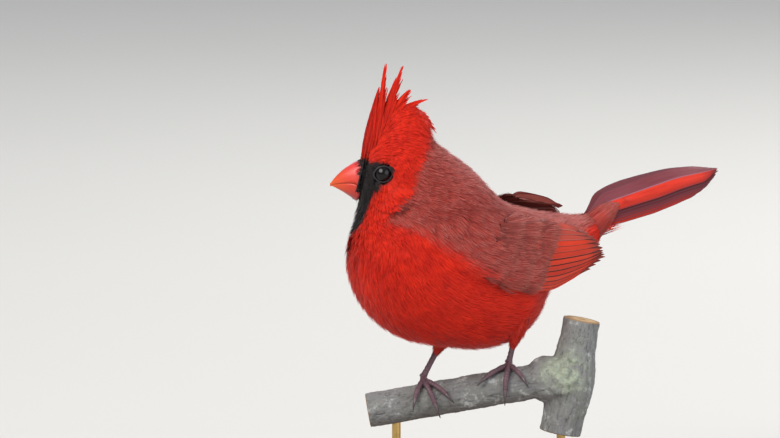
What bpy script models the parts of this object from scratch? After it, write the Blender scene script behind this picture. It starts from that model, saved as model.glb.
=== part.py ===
"""A male northern cardinal, life size, gripping a short cut length of branch on a plain display stand.

Everything is worked out in millimetres and written in metres, with +Z up. X runs from the bill's side
(-X) to the tail's side (+X), and -Y is the side that the bird shows. The origin is the centre of the
underside of the stand's base.
"""
import math
import random

import bmesh
import bpy
import numpy as np

MM = 0.001
GAP = 0.3                       # clearance kept between neighbouring pieces, mm

# The bird's own sizes, mm and degrees
BODY_CENTRE = (-12.0, 0.0, 112.0)
BODY_YAW = 28.0                 # the breast turns this far towards the shown side
HEAD_CENTRE = (-36.0, -14.0, 158.0)
HEAD_YAW = 3.0
HEAD_PITCH = -6.0
BILL_LENGTH = 14.4
BILL_PITCH = -10.0
BILL_HALF_WIDTH = 6.3
EYE_RADIUS = 4.5
EYE_PLACE = (8.6, 0.8)          # forward and up from the head's centre
EYE_DEPTH = 4.5                 # of its centre under the cheek's surface
TAIL_LENGTH = 71.5
TAIL_RISE = 14.0
TAIL_ROLL = -45.0               # its upper face turns towards the shown side
VANE_THICKNESS = 0.55
TARSUS_RADIUS = 1.35
TOE_RADIUS = 1.15

# The perch and the stand, mm
BRANCH_RADIUS = 8.3
BRANCH_SLOPE = 0.175            # rise of the branch for each mm along X
BRANCH_HEIGHT = 55.4            # of its axis where X is 0
BRANCH_END = -51.0
FORK_X = 37.0
LIMB_RADIUS = 10.0
BASE_SIZE = (124.0, 84.0, 12.0)
BASE_CENTRE_Y = 0.0
ROD_RADIUS = 2.0
ROD_DEPTH = 5.0                 # how far each rod goes into the wood

SIDES = 24                      # of the body's surface

random.seed(7)


def unit(v):
    v = np.asarray(v, float)
    return v / np.linalg.norm(v)


def turned(yaw, pitch=0.0, roll=0.0):
    """Columns are the forward, left and up directions of something that faces -X, turned to -Y by yaw."""
    yaw, pitch, roll = map(math.radians, (yaw, pitch, roll))
    heading = np.array([-math.cos(yaw), -math.sin(yaw), 0.0])
    left = np.array([math.sin(yaw), -math.cos(yaw), 0.0])
    forward = heading * math.cos(pitch) + np.array([0, 0, math.sin(pitch)])
    up = np.cross(forward, left)
    rolled = left * math.cos(roll) + up * math.sin(roll)
    return np.stack([forward, rolled, np.cross(forward, rolled)], 1)


def body_point(forward, left, up):
    """A place in the body's own level frame."""
    place = np.stack(np.broadcast_arrays(forward, left, up), -1).astype(float)
    return np.array(BODY_CENTRE) + place @ turned(BODY_YAW).T


def head_point(forward, left, up):
    place = np.stack(np.broadcast_arrays(forward, left, up), -1).astype(float)
    return np.array(HEAD_CENTRE) + place @ turned(HEAD_YAW, HEAD_PITCH).T


# The plumage's outer form is a smooth blend of rounded masses: centre, directions, half sizes, blend.
MASSES = (
    (body_point(1, 0, 0), turned(BODY_YAW, 26), (49.5, 32, 35.5), 0),         # body
    (body_point(25, 0, -2), turned(BODY_YAW, 60), (29.5, 27, 23), 14),        # breast
    (body_point(-40, 0, 11), turned(BODY_YAW, 6), (27, 18, 12.5), 18),        # rump
    (body_point(-49, 0, 5), turned(BODY_YAW, -22), (22, 14, 9), 14),          # vent
    (body_point(-62, 0, 11), turned(BODY_YAW, -TAIL_RISE), (20, 9, 6.5), 8),  # root of the tail
    (body_point(13, 2, 28), turned(14, 50), (32, 20, 22), 16),                # neck
    (body_point(3, 3, 34), turned(14, 48), (26, 14, 12), 12),                 # nape
    (body_point(28, 2, 20), turned(10, 70), (24, 15, 15), 12),                # throat
    (head_point(0, 0, 0), turned(HEAD_YAW, HEAD_PITCH), (19, 13.5, 15.5), 10),  # skull
    (head_point(12, 0, -3), turned(HEAD_YAW, -12), (10, 8.5, 11), 6),         # face
    (head_point(-3.5, 0, 18), turned(HEAD_YAW, -35), (12, 6, 11), 8),         # core of the crest
)


def ellipsoid_distance(points, centre, directions, half):
    local = (points - centre) @ directions
    near = np.linalg.norm(local / half, axis=-1)
    slope = np.linalg.norm(local / np.square(half), axis=-1) + 1e-9
    return near * (near - 1) / slope


def depth_outside(points):
    """About how far points lie outside the plumage, mm, and less than 0 inside it."""
    total = None
    for centre, directions, half, blend in MASSES:
        near = ellipsoid_distance(points, centre, directions, np.array(half, float))
        if total is None:
            total = near
            continue
        share = np.clip(0.5 + 0.5 * (near - total) / blend, 0, 1)
        total = near + (total - near) * share - blend * share * (1 - share)
    return total


# Lines across the body, from throat side to back side: X and Z of both ends, from bill to tail.
GUIDES = (
    (-56.9, 143.0, -51.9, 163.5),   # face
    (-59.5, 139.7, -47.7, 176.8),   # brow
    (-60.5, 137.0, -40.9, 186.0),   # crown
    (-60.9, 134.2, -29.5, 185.0),   # back of the crest
    (-61.4, 131.0, -20.9, 175.9),   # back of the head
    (-61.4, 127.4, -15.5, 165.8),   # nape
    (-61.4, 122.8, -9.5, 159.4),    # neck
    (-60.9, 115.5, -2.3, 153.9),    # shoulders
    (-58.6, 103.1, 5.0, 149.8),     # breast
    (-49.1, 88.0, 11.4, 147.0),     # keel
    (-31.8, 77.0, 17.3, 145.2),     # belly
    (-11.4, 72.9, 23.2, 143.4),
    (7.7, 73.8, 28.6, 141.6),       # thighs
    (25.9, 83.4, 34.1, 140.2),      # vent
    (37.3, 97.1, 39.1, 139.3),
    (45.5, 106.3, 42.7, 138.4),     # rump
    (53.2, 114.5, 46.4, 136.5),     # root of the tail
)
HEAD_GUIDES, BODY_GUIDES = 4.0, 7.0       # the head's direction holds up to one, the body's from the other


def smooth(t):
    t = np.clip(t, 0, 1)
    return t * t * (3 - 2 * t)


def along(table, t):
    """A smooth curve through the rows of a table, at t rows from its start."""
    table = np.asarray(table, float)
    t = np.asarray(t, float)
    i = np.clip(np.floor(t).astype(int), 0, len(table) - 2)
    f = (t - i)[..., None]
    before, a = table[np.maximum(i - 1, 0)], table[i]
    b, after = table[i + 1], table[np.minimum(i + 2, len(table) - 1)]
    return 0.5 * (2 * a + (b - before) * f + (2 * before - 5 * a + 4 * b - after) * f ** 2
                  + (3 * a - before - 3 * b + after) * f ** 3)


def section(t):
    """Centre, left and up directions of the section plane at t guides from the bill."""
    vx, vz, dx, dz = along(GUIDES, t)
    x, z = (vx + dx) / 2, (vz + dz) / 2
    share = smooth((t - HEAD_GUIDES) / (BODY_GUIDES - HEAD_GUIDES))
    yaw = math.radians(HEAD_YAW + (BODY_YAW - HEAD_YAW) * float(share))
    at_head = HEAD_CENTRE[1] + (x - HEAD_CENTRE[0]) * math.tan(math.radians(HEAD_YAW))
    at_body = BODY_CENTRE[1] + (x - BODY_CENTRE[0]) * math.tan(math.radians(BODY_YAW))
    centre = np.array([x, at_head + (at_body - at_head) * float(share), z])
    up = unit([dx - vx, (dx - vx) * math.tan(yaw), dz - vz])
    left = np.array([math.sin(yaw), -math.cos(yaw), 0.0])
    return centre, left, up


def ring(t, shift=0.0, sides=SIDES):
    """Points where the section plane at t, moved shift mm towards the tail, meets the plumage's outer form."""
    centre, left, up = section(t)
    centre = centre + np.cross(up, left) * shift
    angles = np.arange(sides) * 2 * math.pi / sides
    rays = np.cos(angles)[:, None] * up + np.sin(angles)[:, None] * left
    low, high = np.zeros(sides), np.full(sides, np.nan)
    for reach in np.arange(1.0, 75.0, 1.0):
        out = depth_outside(centre + rays * reach) > 0
        high[out & np.isnan(high)] = reach
    low = high - 1.0
    for _ in range(20):
        middle = (low + high) / 2
        out = depth_outside(centre + rays * middle[:, None]) > 0
        high, low = np.where(out, middle, high), np.where(out, low, middle)
    return centre + rays * high[:, None]


def material(name, colour, roughness, metallic=0.0):
    made = bpy.data.materials.new(name)
    made.use_nodes = True
    shader = made.node_tree.nodes["Principled BSDF"]
    shader.inputs["Base Color"].default_value = (*colour, 1)
    shader.inputs["Roughness"].default_value = roughness
    shader.inputs["Metallic"].default_value = metallic
    made.diffuse_color = (*colour, 1)
    return made


def volume_of(points, faces):
    total = 0.0
    for face in faces:
        a = points[face[0]]
        for b, c in zip(face[1:-1], face[2:]):
            total += float(np.dot(a, np.cross(points[b], points[c])))
    return total


def solid(name, points, faces, finish):
    """An object from points in millimetres, with its faces turned out."""
    points = np.asarray(points, float)
    if volume_of(points - points.mean(0), faces) < 0:
        faces = [tuple(reversed(f)) for f in faces]
    mesh = bpy.data.meshes.new(name)
    mesh.from_pydata((points * MM).tolist(), [], [tuple(int(i) for i in f) for f in faces])
    mesh.materials.append(finish)
    made = bpy.data.objects.new(name, mesh)
    bpy.context.scene.collection.objects.link(made)
    return made


def lofted(name, rings, finish):
    """A closed body through rings of equally many points, with flat ends."""
    count = len(rings[0])
    points = np.concatenate(rings)
    faces = []
    for i in range(len(rings) - 1):
        for j in range(count):
            k = (j + 1) % count
            a, b = i * count, (i + 1) * count
            faces.append((a + j, a + k, b + k, b + j))
    faces.append(tuple(range(count))[::-1])
    last = (len(rings) - 1) * count
    faces.append(tuple(last + j for j in range(count)))
    return solid(name, points, faces, finish)


def slab(name, tops, bottoms, finish):
    """A closed plate from two grids of points, split into triangles alike on both faces."""
    rows, columns = tops.shape[:2]
    points = np.concatenate([tops.reshape(-1, 3), bottoms.reshape(-1, 3)])
    under = rows * columns
    faces = []
    for i in range(rows - 1):
        for j in range(columns - 1):
            a, b = i * columns + j, (i + 1) * columns + j
            faces += [(a, b, b + 1), (a, b + 1, a + 1)]
            faces += [(under + b + 1, under + b, under + a), (under + a + 1, under + b + 1, under + a)]
    edge = [i * columns for i in range(rows)]
    edge += [(rows - 1) * columns + j for j in range(1, columns)]
    edge += [i * columns + columns - 1 for i in range(rows - 2, -1, -1)]
    edge += [j for j in range(columns - 2, 0, -1)]
    for a, b in zip(edge, edge[1:] + edge[:1]):
        faces += [(a, under + a, under + b), (a, under + b, b)]
    return solid(name, points, faces, finish)


def baked(made):
    """Replaces an object's mesh by the mesh that its modifiers give."""
    graph = bpy.context.evaluated_depsgraph_get()
    mesh = bpy.data.meshes.new_from_object(made.evaluated_get(graph))
    made.modifiers.clear()
    made.data = mesh


def largest_only(made):
    """Keeps an object's largest closed surface."""
    form = bmesh.new()
    form.from_mesh(made.data)
    bmesh.ops.triangulate(form, faces=form.faces)
    waiting, groups = set(form.verts), []
    while waiting:
        found, edge = set(), [waiting.pop()]
        while edge:
            v = edge.pop()
            found.add(v)
            for e in v.link_edges:
                other = e.other_vert(v)
                if other in waiting:
                    waiting.remove(other)
                    edge.append(other)
        groups.append(found)

    def size(group):
        total = 0.0
        for f in {f for v in group for f in v.link_faces}:
            a, b, c = (v.co for v in f.verts)
            total += a.dot(b.cross(c))
        return total
    groups.sort(key=size, reverse=True)
    for group in groups[1:]:
        bmesh.ops.delete(form, geom=list(group), context="VERTS")
    form.to_mesh(made.data)
    form.free()


def fused(base, pieces, solver="MANIFOLD"):
    """Joins closed pieces to base by one Boolean union."""
    group = bpy.data.collections.new(base.name + "_pieces")
    for piece in pieces:
        for owner in list(piece.users_collection):
            owner.objects.unlink(piece)
        group.objects.link(piece)
    bpy.context.scene.collection.children.link(group)
    join = base.modifiers.new("join", "BOOLEAN")
    join.operation = "UNION"
    join.operand_type = "COLLECTION"
    join.collection = group
    join.solver = solver
    baked(base)
    for piece in pieces:
        bpy.data.objects.remove(piece)
    bpy.data.collections.remove(group)
    largest_only(base)
    return base


def cut(base, cutter, solver="MANIFOLD"):
    take = base.modifiers.new("cut", "BOOLEAN")
    take.operation = "DIFFERENCE"
    take.object = cutter
    take.solver = solver
    baked(base)
    bpy.data.objects.remove(cutter)
    largest_only(base)
    return base


def ball(name, centre, half, directions, finish, columns=16, rows=10):
    """A closed rounded body with half sizes along three directions."""
    points = [np.array([half[0], 0, 0])]
    for i in range(1, rows):
        a = math.pi * i / rows
        for j in range(columns):
            b = 2 * math.pi * j / columns
            points.append(np.array([half[0] * math.cos(a), half[1] * math.sin(a) * math.cos(b),
                                    half[2] * math.sin(a) * math.sin(b)]))
    points.append(np.array([-half[0], 0, 0]))
    faces = [(0, 1 + j, 1 + (j + 1) % columns) for j in range(columns)]
    for i in range(rows - 2):
        for j in range(columns):
            k = (j + 1) % columns
            a, b = 1 + i * columns, 1 + (i + 1) * columns
            faces.append((a + j, b + j, b + k, a + k))
    last = len(points) - 1
    faces += [(last, last - columns + (j + 1) % columns, last - columns + j) for j in range(columns)]
    return solid(name, np.array(points) @ directions.T + centre, faces, finish)


def tube(name, path, radii, sides, finish, flat=1.0, side_hint=(0, 0, 1)):
    """A closed tube along a path, with its own radius at each point; flat squeezes it across the hint."""
    path = np.asarray(path, float)
    rings = []
    for i, centre in enumerate(path):
        ahead = unit(path[min(i + 1, len(path) - 1)] - path[max(i - 1, 0)])
        one = unit(np.cross(ahead, side_hint))
        two = np.cross(ahead, one)
        a = np.arange(sides) * 2 * math.pi / sides
        rings.append(centre + radii[i] * (np.cos(a)[:, None] * one + flat * np.sin(a)[:, None] * two))
    return lofted(name, rings, finish)


# Torso, neck and head

HEAD_END, NECK_END, TORSO_END = 5.0, 7.0, 16.0        # cuts, in guides from the bill


def body_length(name, start, end, count, finish, gap_first=True):
    """A length of the body between two section planes, with its first plane drawn back by the gap."""
    rings = [ring(start, GAP if gap_first else 0.0)]
    rings += [ring(t) for t in np.linspace(start, end, count)[1:]]
    return lofted(name, rings, finish)


def crown_height(forward, left):
    """The height of the crown's surface in the head's frame."""
    low, high = 0.0, 60.0
    for _ in range(30):
        middle = (low + high) / 2
        if depth_outside(head_point(forward, left, middle)[None])[0] > 0:
            high = middle
        else:
            low = middle
    return low


# Crest feathers from forehead to nape: root forward, tip forward, tip up, in the head's frame.
CREST = (
    (15.0, 11.5, 25.5),
    (13.0, 6.0, 41.0),
    (10.5, 1.2, 48.6),
    (6.5, -5.0, 47.6),
    (2.0, -8.5, 37.0),
    (-3.5, -14.6, 31.0),
    (-8.5, -15.5, 22.0),
    (-13.0, -20.0, 13.5),
)
CREST_RANKS = 14
CREST_HALF_WIDTH = 1.7
CREST_SPREAD = 4.2              # how far the outer feathers are rooted from the middle line


def strip(name, path, across, normals, widths, thicknesses, finish):
    """A vane: a flat closed strip along a path, with a low ridge for its shaft."""
    tops, bottoms = [], []
    for place, side, up, half, thick in zip(path, across, normals, widths, thicknesses):
        lanes = ((-1, 0.32), (0, 0.5), (1, 0.32))
        tops.append([place + side * half * lane + up * thick * high for lane, high in lanes])
        bottoms.append([place + side * half * lane - up * thick * high for lane, high in lanes])
    return slab(name, np.array(tops), np.array(bottoms), finish)


def crest_feather(name, rank, lane, finish):
    root_f, tip_f, tip_u = along(CREST, rank * (len(CREST) - 1))
    jitter = random.uniform(-1, 1)
    side = lane * CREST_SPREAD
    root = head_point(root_f, side, crown_height(root_f, side) - 1.2)
    shorter = 1 - 0.16 * abs(lane) - 0.1 * random.random()
    tip_u = crown_height(root_f, 0) + (tip_u - crown_height(root_f, 0)) * shorter
    tip = head_point(tip_f + jitter * 0.9, side * 0.6 + jitter * 0.4, tip_u)
    lean = head_point(root_f - 1.0, side * 1.1, (crown_height(root_f, side) + tip_u) * 0.5)
    steps = np.array([0.0, 0.4, 0.75, 1.0])[:, None]
    path = root * (1 - steps) ** 2 + lean * 2 * steps * (1 - steps) + tip * steps ** 2
    ahead = np.gradient(path, axis=0)
    facing = turned(HEAD_YAW, HEAD_PITCH)[:, 1]
    across = np.array([unit(np.cross(a, facing)) for a in ahead])
    normals = np.array([unit(np.cross(s, a)) for s, a in zip(across, ahead)])
    widths = CREST_HALF_WIDTH * np.array([0.85, 1.0, 0.66, 0.14])
    thick = np.array([1.1, 1.0, 0.8, 0.4])
    return strip(name, path, across, normals, widths, thick, finish)


def cheek_out(side, forward, up):
    """How far the cheek's surface is from the head's middle plane."""
    low, high = 0.0, 40.0
    for _ in range(30):
        middle = (low + high) / 2
        if depth_outside(head_point(forward, side * middle, up)[None])[0] > 0:
            high = middle
        else:
            low = middle
    return low


def eye_centre(side):
    forward, up = EYE_PLACE
    return head_point(forward, side * (cheek_out(side, forward, up) - EYE_DEPTH), up)


def eyelids(side, finish):
    """The ring of the lids, a little longer towards the corners of the eye."""
    directions = turned(HEAD_YAW, HEAD_PITCH)
    out = directions[:, 1] * side
    centre = eye_centre(side) + out * 3.0
    count, rings = 16, []
    tube_radius = 0.75
    for i in range(count):
        a = 2 * math.pi * i / count
        ray = directions[:, 0] * math.cos(a) * 1.08 + directions[:, 2] * math.sin(a)
        middle = centre + ray * 3.7
        b = np.arange(6) * 2 * math.pi / 6
        rings.append(middle + tube_radius * (np.cos(b)[:, None] * unit(ray) + np.sin(b)[:, None] * out))
    points = np.concatenate(rings)
    faces = []
    for i in range(count):
        for j in range(6):
            a, b, k = i * 6, (i + 1) % count * 6, (j + 1) % 6
            faces.append((a + j, b + j, b + k, a + k))
    return solid("lids", points, faces, finish)


def build_head(finish):
    rings = [ring(t) for t in np.linspace(0, HEAD_END, 15)]
    head = lofted("head", rings, finish)
    pieces = []
    for i in range(CREST_RANKS):
        rank = i / (CREST_RANKS - 1)
        for lane in ((-1, 0, 1) if i % 2 else (-0.55, 0.55)):
            pieces.append(crest_feather(f"crest_{i}_{lane}", rank, lane, finish))
    pieces += [eyelids(1, finish), eyelids(-1, finish)]
    fused(head, pieces)
    directions = turned(HEAD_YAW, HEAD_PITCH)
    for side in (1, -1):
        socket = EYE_RADIUS + GAP
        cut(head, ball("socket", eye_centre(side), (socket,) * 3, directions, finish, 16, 9))
    return head


def build_eyes(finish):
    directions = turned(HEAD_YAW, HEAD_PITCH)[:, [1, 0, 2]] * np.array([1, 1, -1])
    for name, side in (("eye_left", 1), ("eye_right", -1)):
        ball(name, eye_centre(side), (EYE_RADIUS,) * 3, directions, finish, 16, 9)


# Bill

BILL_BASE = (-54.0, -14.9, 154.4)


def tomium(a):
    """Height of the mouth line above the bill's axis, a mm from the bill's base."""
    return -3.4 * math.exp(-a / 3.0)


def bill_half(name, upper, finish):
    directions = turned(HEAD_YAW, BILL_PITCH)
    face, left, up = section(0.0)
    aft = np.cross(up, left)

    def flush(point, share):
        """Slides a point of the bill along its axis, so that the bill's base lies along the face."""
        place = np.array(BILL_BASE) + directions @ np.array([0.0, point[1], point[2]])
        start = (-GAP - np.dot(place - face, aft)) / np.dot(directions[:, 0], aft)
        return point[0] + start * (1 - share), point[1], point[2]
    rings = []
    for share in (0, 0.12, 0.26, 0.42, 0.58, 0.72, 0.84, 0.93, 0.985):
        a = share * BILL_LENGTH
        top = 8.7 * (1 - share ** 1.8) + 0.12
        bottom = -9.0 * (1 - share ** 1.1) - 0.25
        mouth = tomium(a) * (1 - share) + (GAP / 2 if upper else -GAP / 2) - 0.1 * share
        width = BILL_HALF_WIDTH * (1 - share ** 1.45) + 0.25
        reach = (top if upper else bottom) - mouth
        ring_points = []
        for j in range(9):
            b = math.pi * j / 8
            lean = abs(math.cos(b)) ** 0.85 * (1 if math.cos(b) > 0 else -1)
            ring_points.append((a, width * lean, mouth + reach * math.sin(b) ** 0.8))
        ring_points += [(a, -width * 0.4, mouth), (a, width * 0.4, mouth)]
        ring_points = [flush(point, share) for point in ring_points]
        rings.append(np.array(BILL_BASE) + np.array(ring_points) @ directions.T)
    half = lofted(name, rings, finish)
    if upper:
        for side in (1, -1):
            place = np.array(BILL_BASE) + directions @ np.array([2.6, side * 4.6, 4.2])
            cut(half, ball("nostril", place, (1.0, 0.8, 0.6), directions, finish, 8, 6))
    return half


# Wings, laid out in the body's side view: forward and up from the body's centre

WING_LIFT = 0.9                                # from the torso to the wing's inner face
WING_LOWER = ((26, 15), (15, 3), (-4, -6), (-26, -10), (-46, -9.5), (-60, -6), (-70, 0))
WING_UPPER = ((24, 24), (12, 30), (-6, 30.5), (-24, 27.5), (-42, 21), (-57, 11), (-70, 2))
FAR_WING_UPPER = ((24, 24), (12, 30), (-6, 30.5), (-24, 27.5), (-40, 25.5), (-55, 19.5), (-70, 3))
WING_STEP = 0.24                               # each feather lies this much under the one above it


def wing_place(side, forward, up, height):
    """A point over the folded wing's bed, height mm out from it."""
    def bed(f, u):
        low, high = np.zeros(np.shape(f)), np.full(np.shape(f), 50.0)
        for _ in range(20):
            middle = (low + high) / 2
            out = depth_outside(body_point(f, side * middle, u)) > WING_LIFT
            high, low = np.where(out, middle, high), np.where(out, low, middle)
        free = (14.5 - 0.28 * u) * smooth((-14 - f) / 30)
        blend = 4.0
        share = np.clip(0.5 + 0.5 * (high - free) / blend, 0, 1)
        return body_point(f, side * (free + (high - free) * share + blend * share * (1 - share)), u)
    forward, up = np.asarray(forward, float), np.asarray(up, float)
    here = bed(forward, up)
    step = 0.6
    normal = np.cross(bed(forward + step, up) - here, bed(forward, up + step) - here) * -side
    normal /= np.linalg.norm(normal, axis=-1, keepdims=True)
    return here + normal * np.asarray(height)[..., None]


def wing_vane(name, side, root, tip, half_width, height, finish, sag=0.0, root_height=0.4):
    """One wing feather as a strip that follows the wing's bed from its root to its tip."""
    steps = np.array([0.0, 0.3, 0.65, 0.88, 1.0])
    shape = np.array([0.5, 0.95, 1.0, 0.72, 0.18])
    root, tip = np.array(root, float), np.array(tip, float)
    middle = root + (tip - root) * steps[:, None]
    middle[:, 1] -= sag * 4 * steps * (1 - steps)
    ahead = unit(tip - root)
    side_way = np.array([-ahead[1], ahead[0]])
    rise = root_height + (height - root_height) * smooth(steps / 0.35)
    tops, bottoms = [], []
    lanes = ((-1, 0.0), (0, 0.12), (1, 0.0)) if half_width > 3.85 else ((-1, 0.0), (1, 0.0))
    for lane, crown in lanes:
        place = middle + side_way * (lane * half_width * shape)[:, None]
        thick = VANE_THICKNESS * np.array([1, 1, 1, 1, 0.7])
        tops.append(wing_place(side, place[:, 0], place[:, 1], rise + thick + crown))
        bottoms.append(wing_place(side, place[:, 0], place[:, 1], rise))
    return slab(name, np.stack(tops, 1), np.stack(bottoms, 1), finish)


def spread(a, b, count, bow=(0.0, 0.0)):
    """Evenly spaced places from a to b, with their middle moved by bow."""
    a, b, bow = (np.array(v, float) for v in (a, b, bow))
    t = np.linspace(0, 1, count)[:, None]
    return a * (1 - t) + b * t + bow * 4 * t * (1 - t)


# Tiers of wing feathers from the innermost to the outermost layer of the folded wing:
# name, count, roots from, roots to, tips from, tips to, bow of the tips, half width, top height
WING_TIERS = (
    ("primary", 7, (4, 1), (-6, 6), (-52, -8.2), (-66, 2.5), (-8.5, -2.0), 4.1, 2.4),
    ("secondary", 5, (-8, 4), (-10, 13), (-61, 3.6), (-57, 9.5), (0, 0), 4.4, 3.8),
    ("tertial", 3, (-6, 14), (-4, 20), (-55, 13), (-43, 21), (0, 0), 4.6, 4.6),
    ("greater_covert", 6, (10, 2), (-2, 22), (-26, -7.5), (-37, 20), (-4, 0), 3.8, 5.2),
    ("median_covert", 5, (16, 6), (6, 24), (-7, -3), (-17, 24), (-2, 0), 3.8, 5.7),
)


# The far wing is held higher over the back, so its tertials reach higher there
FAR_TIERS = {"tertial": ((-8, 14), (-8, 20), (-58, 14.5), (-50, 24.5))}


def build_wing(name, side, finish):
    rows, columns = 9, 5 if side > 0 else 8
    s = np.linspace(0, 4.3, rows)
    lower, upper = along(WING_LOWER, s), along(WING_UPPER if side > 0 else FAR_WING_UPPER, s)
    t = np.linspace(0.03, 0.97, columns)
    grid = lower[:, None] * (1 - t)[None, :, None] + upper[:, None] * t[None, :, None]
    body = np.sin(math.pi * np.clip(t, 0.02, 0.98)) ** 0.5
    taper = 1 - 0.75 * smooth((s - 1.0) / 3.3)
    nose = smooth(s / 0.5 + 0.15)
    height = 0.8 + 3.2 * body[None] * taper[:, None] * nose[:, None]
    tops = wing_place(side, grid[..., 0], grid[..., 1], height)
    bottoms = wing_place(side, grid[..., 0], grid[..., 1], np.zeros_like(height))
    wing = slab(name, tops, bottoms, finish)
    pieces = []
    for tier, count, root_a, root_b, tip_a, tip_b, bow, half_width, top in WING_TIERS:
        if side < 0 and tier in FAR_TIERS:
            root_a, root_b, tip_a, tip_b = FAR_TIERS[tier]
        roots, tips = spread(root_a, root_b, count), spread(tip_a, tip_b, count, bow)
        for i in range(count):
            height = top - WING_STEP * (count - 1 - i)
            pieces.append(wing_vane(f"{tier}_{i}", side, roots[i], tips[i], half_width, height, finish,
                                    sag=0.8, root_height=0.3 + 0.04 * i))
    return fused(wing, pieces)


# Tail

RECTRICES = 6                                  # on each side
TAIL_STEP = 0.46                               # each feather lies this much under its inner neighbour


def tail_frame():
    """The middle of the tail's root face, the tail's directions aft, left and up, and its up before it rolls."""
    centre, _, _ = section(TORSO_END)
    directions = turned(BODY_YAW, -TAIL_RISE, TAIL_ROLL)
    level_up = turned(BODY_YAW, -TAIL_RISE)[:, 2]
    return centre, np.stack([-directions[:, 0], directions[:, 1], directions[:, 2]], 1), level_up


def tail_feather(name, number, side, finish):
    """A tail feather: number 0 is next to the middle. The far side's feathers lie closer and end sooner."""
    centre, directions, level_up = tail_frame()
    length = TAIL_LENGTH - (0.45 if side > 0 else 0.75) * number ** 2 - (0.0 if side > 0 else 2.5)
    layer = -TAIL_STEP * (number + (0 if side > 0 else 0.5))
    steps = np.array([0.0, 0.18, 0.55, 0.86, 0.96, 1.0])
    half = np.array([2.6, 5.2, 6.2, 6.0, 4.2, 1.6])
    path = []
    for s in steps:
        aft = s * length
        if side > 0:
            beside = number * (0.7 + 0.75 * smooth(aft / 14))
        else:
            beside = -0.4 * number - (0.9 + 0.35 * number) * smooth(aft / 20)
        lift = 5.0 + 4.2 * smooth(aft / 12)
        droop = 4.0 * smooth((aft - 45) / 27)
        path.append(centre + level_up * lift + directions @ np.array([aft + 1.0, beside, layer - droop]))
    path = np.array(path)
    ahead = np.gradient(path, axis=0)
    tilt = math.radians(-3.0 if side > 0 else 6.0)
    up = directions[:, 2] * math.cos(tilt) - directions[:, 1] * math.sin(tilt)
    across = np.array([unit(np.cross(up, a)) for a in ahead])
    normals = np.array([unit(np.cross(a, s)) for a, s in zip(ahead, across)])
    return strip(name, path, across, normals, half, np.full(len(steps), VANE_THICKNESS * 1.25), finish)


def build_tail(finish):
    centre, directions, level_up = tail_frame()
    aft = np.cross(section(TORSO_END)[2], section(TORSO_END)[1])
    rings = []
    for back, scale, rise in ((GAP, 0.98, 0), (4.0, 0.95, 0.7), (9.0, 0.84, 2.4), (15.0, 0.62, 4.4), (21.0, 0.3, 6.2)):
        outline = ring(TORSO_END, 0.0, 16)
        middle = outline.mean(0)
        rings.append(middle + (outline - middle) * scale + aft * back + level_up * rise)
    tail = lofted("tail", rings, finish)
    pieces = []
    for number in range(RECTRICES):
        for side in (1, -1):
            pieces.append(tail_feather(f"rectrix_{number}_{side}", number, side, finish))
    return fused(tail, pieces)


# Perch

BRANCH_WAY = unit([1, 0, BRANCH_SLOPE])
BRANCH_UP = unit([-BRANCH_SLOPE, 0, 1])
SHOWN = np.array([0, -1.0, 0])


def branch_axis(x):
    return np.array([x, 0.0, BRANCH_HEIGHT + BRANCH_SLOPE * x])


def on_branch(x, angle, radius):
    """A point round the branch: angle 0 is its top, and 90 degrees its shown side."""
    a = math.radians(angle)
    return branch_axis(x) + radius * (math.sin(a) * SHOWN + math.cos(a) * BRANCH_UP)


def bark(a, b, depth):
    """Shallow hollows and ridges of the bark, never above the named radius."""
    wave = (math.sin(3 * b + 0.21 * a) + math.sin(5 * b - 0.37 * a + 1.0) + math.sin(0.33 * a + 2 * b)) / 3
    return -depth * (0.5 - 0.5 * wave)


def wood(name, axis, radius, depth, finish, sides=18):
    """A length of wood round an axis of points, with its bark's hollows."""
    axis = np.asarray(axis, float)
    way = unit(axis[-1] - axis[0])
    one = unit(np.cross(way, SHOWN))
    two = np.cross(way, one)
    rings = []
    for i, place in enumerate(axis):
        along_axis = float(np.dot(place - axis[0], way))
        points = []
        for j in range(sides):
            b = 2 * math.pi * j / sides
            r = radius(along_axis) + bark(along_axis, b, depth)
            points.append(place + r * (math.cos(b) * one + math.sin(b) * two))
        rings.append(np.array(points))
    return lofted(name, rings, finish)


LIMB_FOOT, LIMB_TOP = np.array([36.5, 2.0, 36.0]), np.array([46.5, 2.0, 88.0])


def build_perch(finish):
    branch = wood("perch", [branch_axis(x) for x in np.linspace(BRANCH_END, FORK_X, 12)],
                  lambda a: BRANCH_RADIUS, 0.55, finish)
    limb_axis = [LIMB_FOOT + (LIMB_TOP - LIMB_FOOT) * t for t in np.linspace(0, 1, 9)]
    limb = wood("limb", limb_axis, lambda a: LIMB_RADIUS + 2.2 * math.exp(-((a - 24) / 11) ** 2) - 0.02 * a,
                0.8, finish)
    collar_way = turned(0, -math.degrees(math.atan(BRANCH_SLOPE)))
    collar = ball("collar", branch_axis(FORK_X - 6), (11.0, 10.6, 11.2), collar_way, finish, 16, 9)
    knob = ball("knob", branch_axis(FORK_X) + np.array([0, -5.0, -1.5]), (9.5, 7.0, 8.0), collar_way,
                finish, 12, 7)
    perch = fused(branch, [limb, collar, knob])
    for rod in rods():
        low, high = rod
        cut(perch, rod_bar("hole", high - np.array([0, 0, ROD_DEPTH + GAP]) - np.array([0, 0, 6.0]),
                           high + np.array([0, 0, GAP]), ROD_RADIUS + GAP, finish))
    return perch


# Stand

def rods():
    """The lower and upper ends of both rods."""
    under = BRANCH_HEIGHT + BRANCH_SLOPE * -38.0 - BRANCH_RADIUS
    first = (np.array([-38.0, 0, BASE_SIZE[2] - ROD_DEPTH]), np.array([-38.0, 0, under + ROD_DEPTH]))
    second = (np.array([36.9, 2.0, BASE_SIZE[2] - ROD_DEPTH]), np.array([36.9, 2.0, LIMB_FOOT[2] + ROD_DEPTH]))
    return first, second


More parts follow.
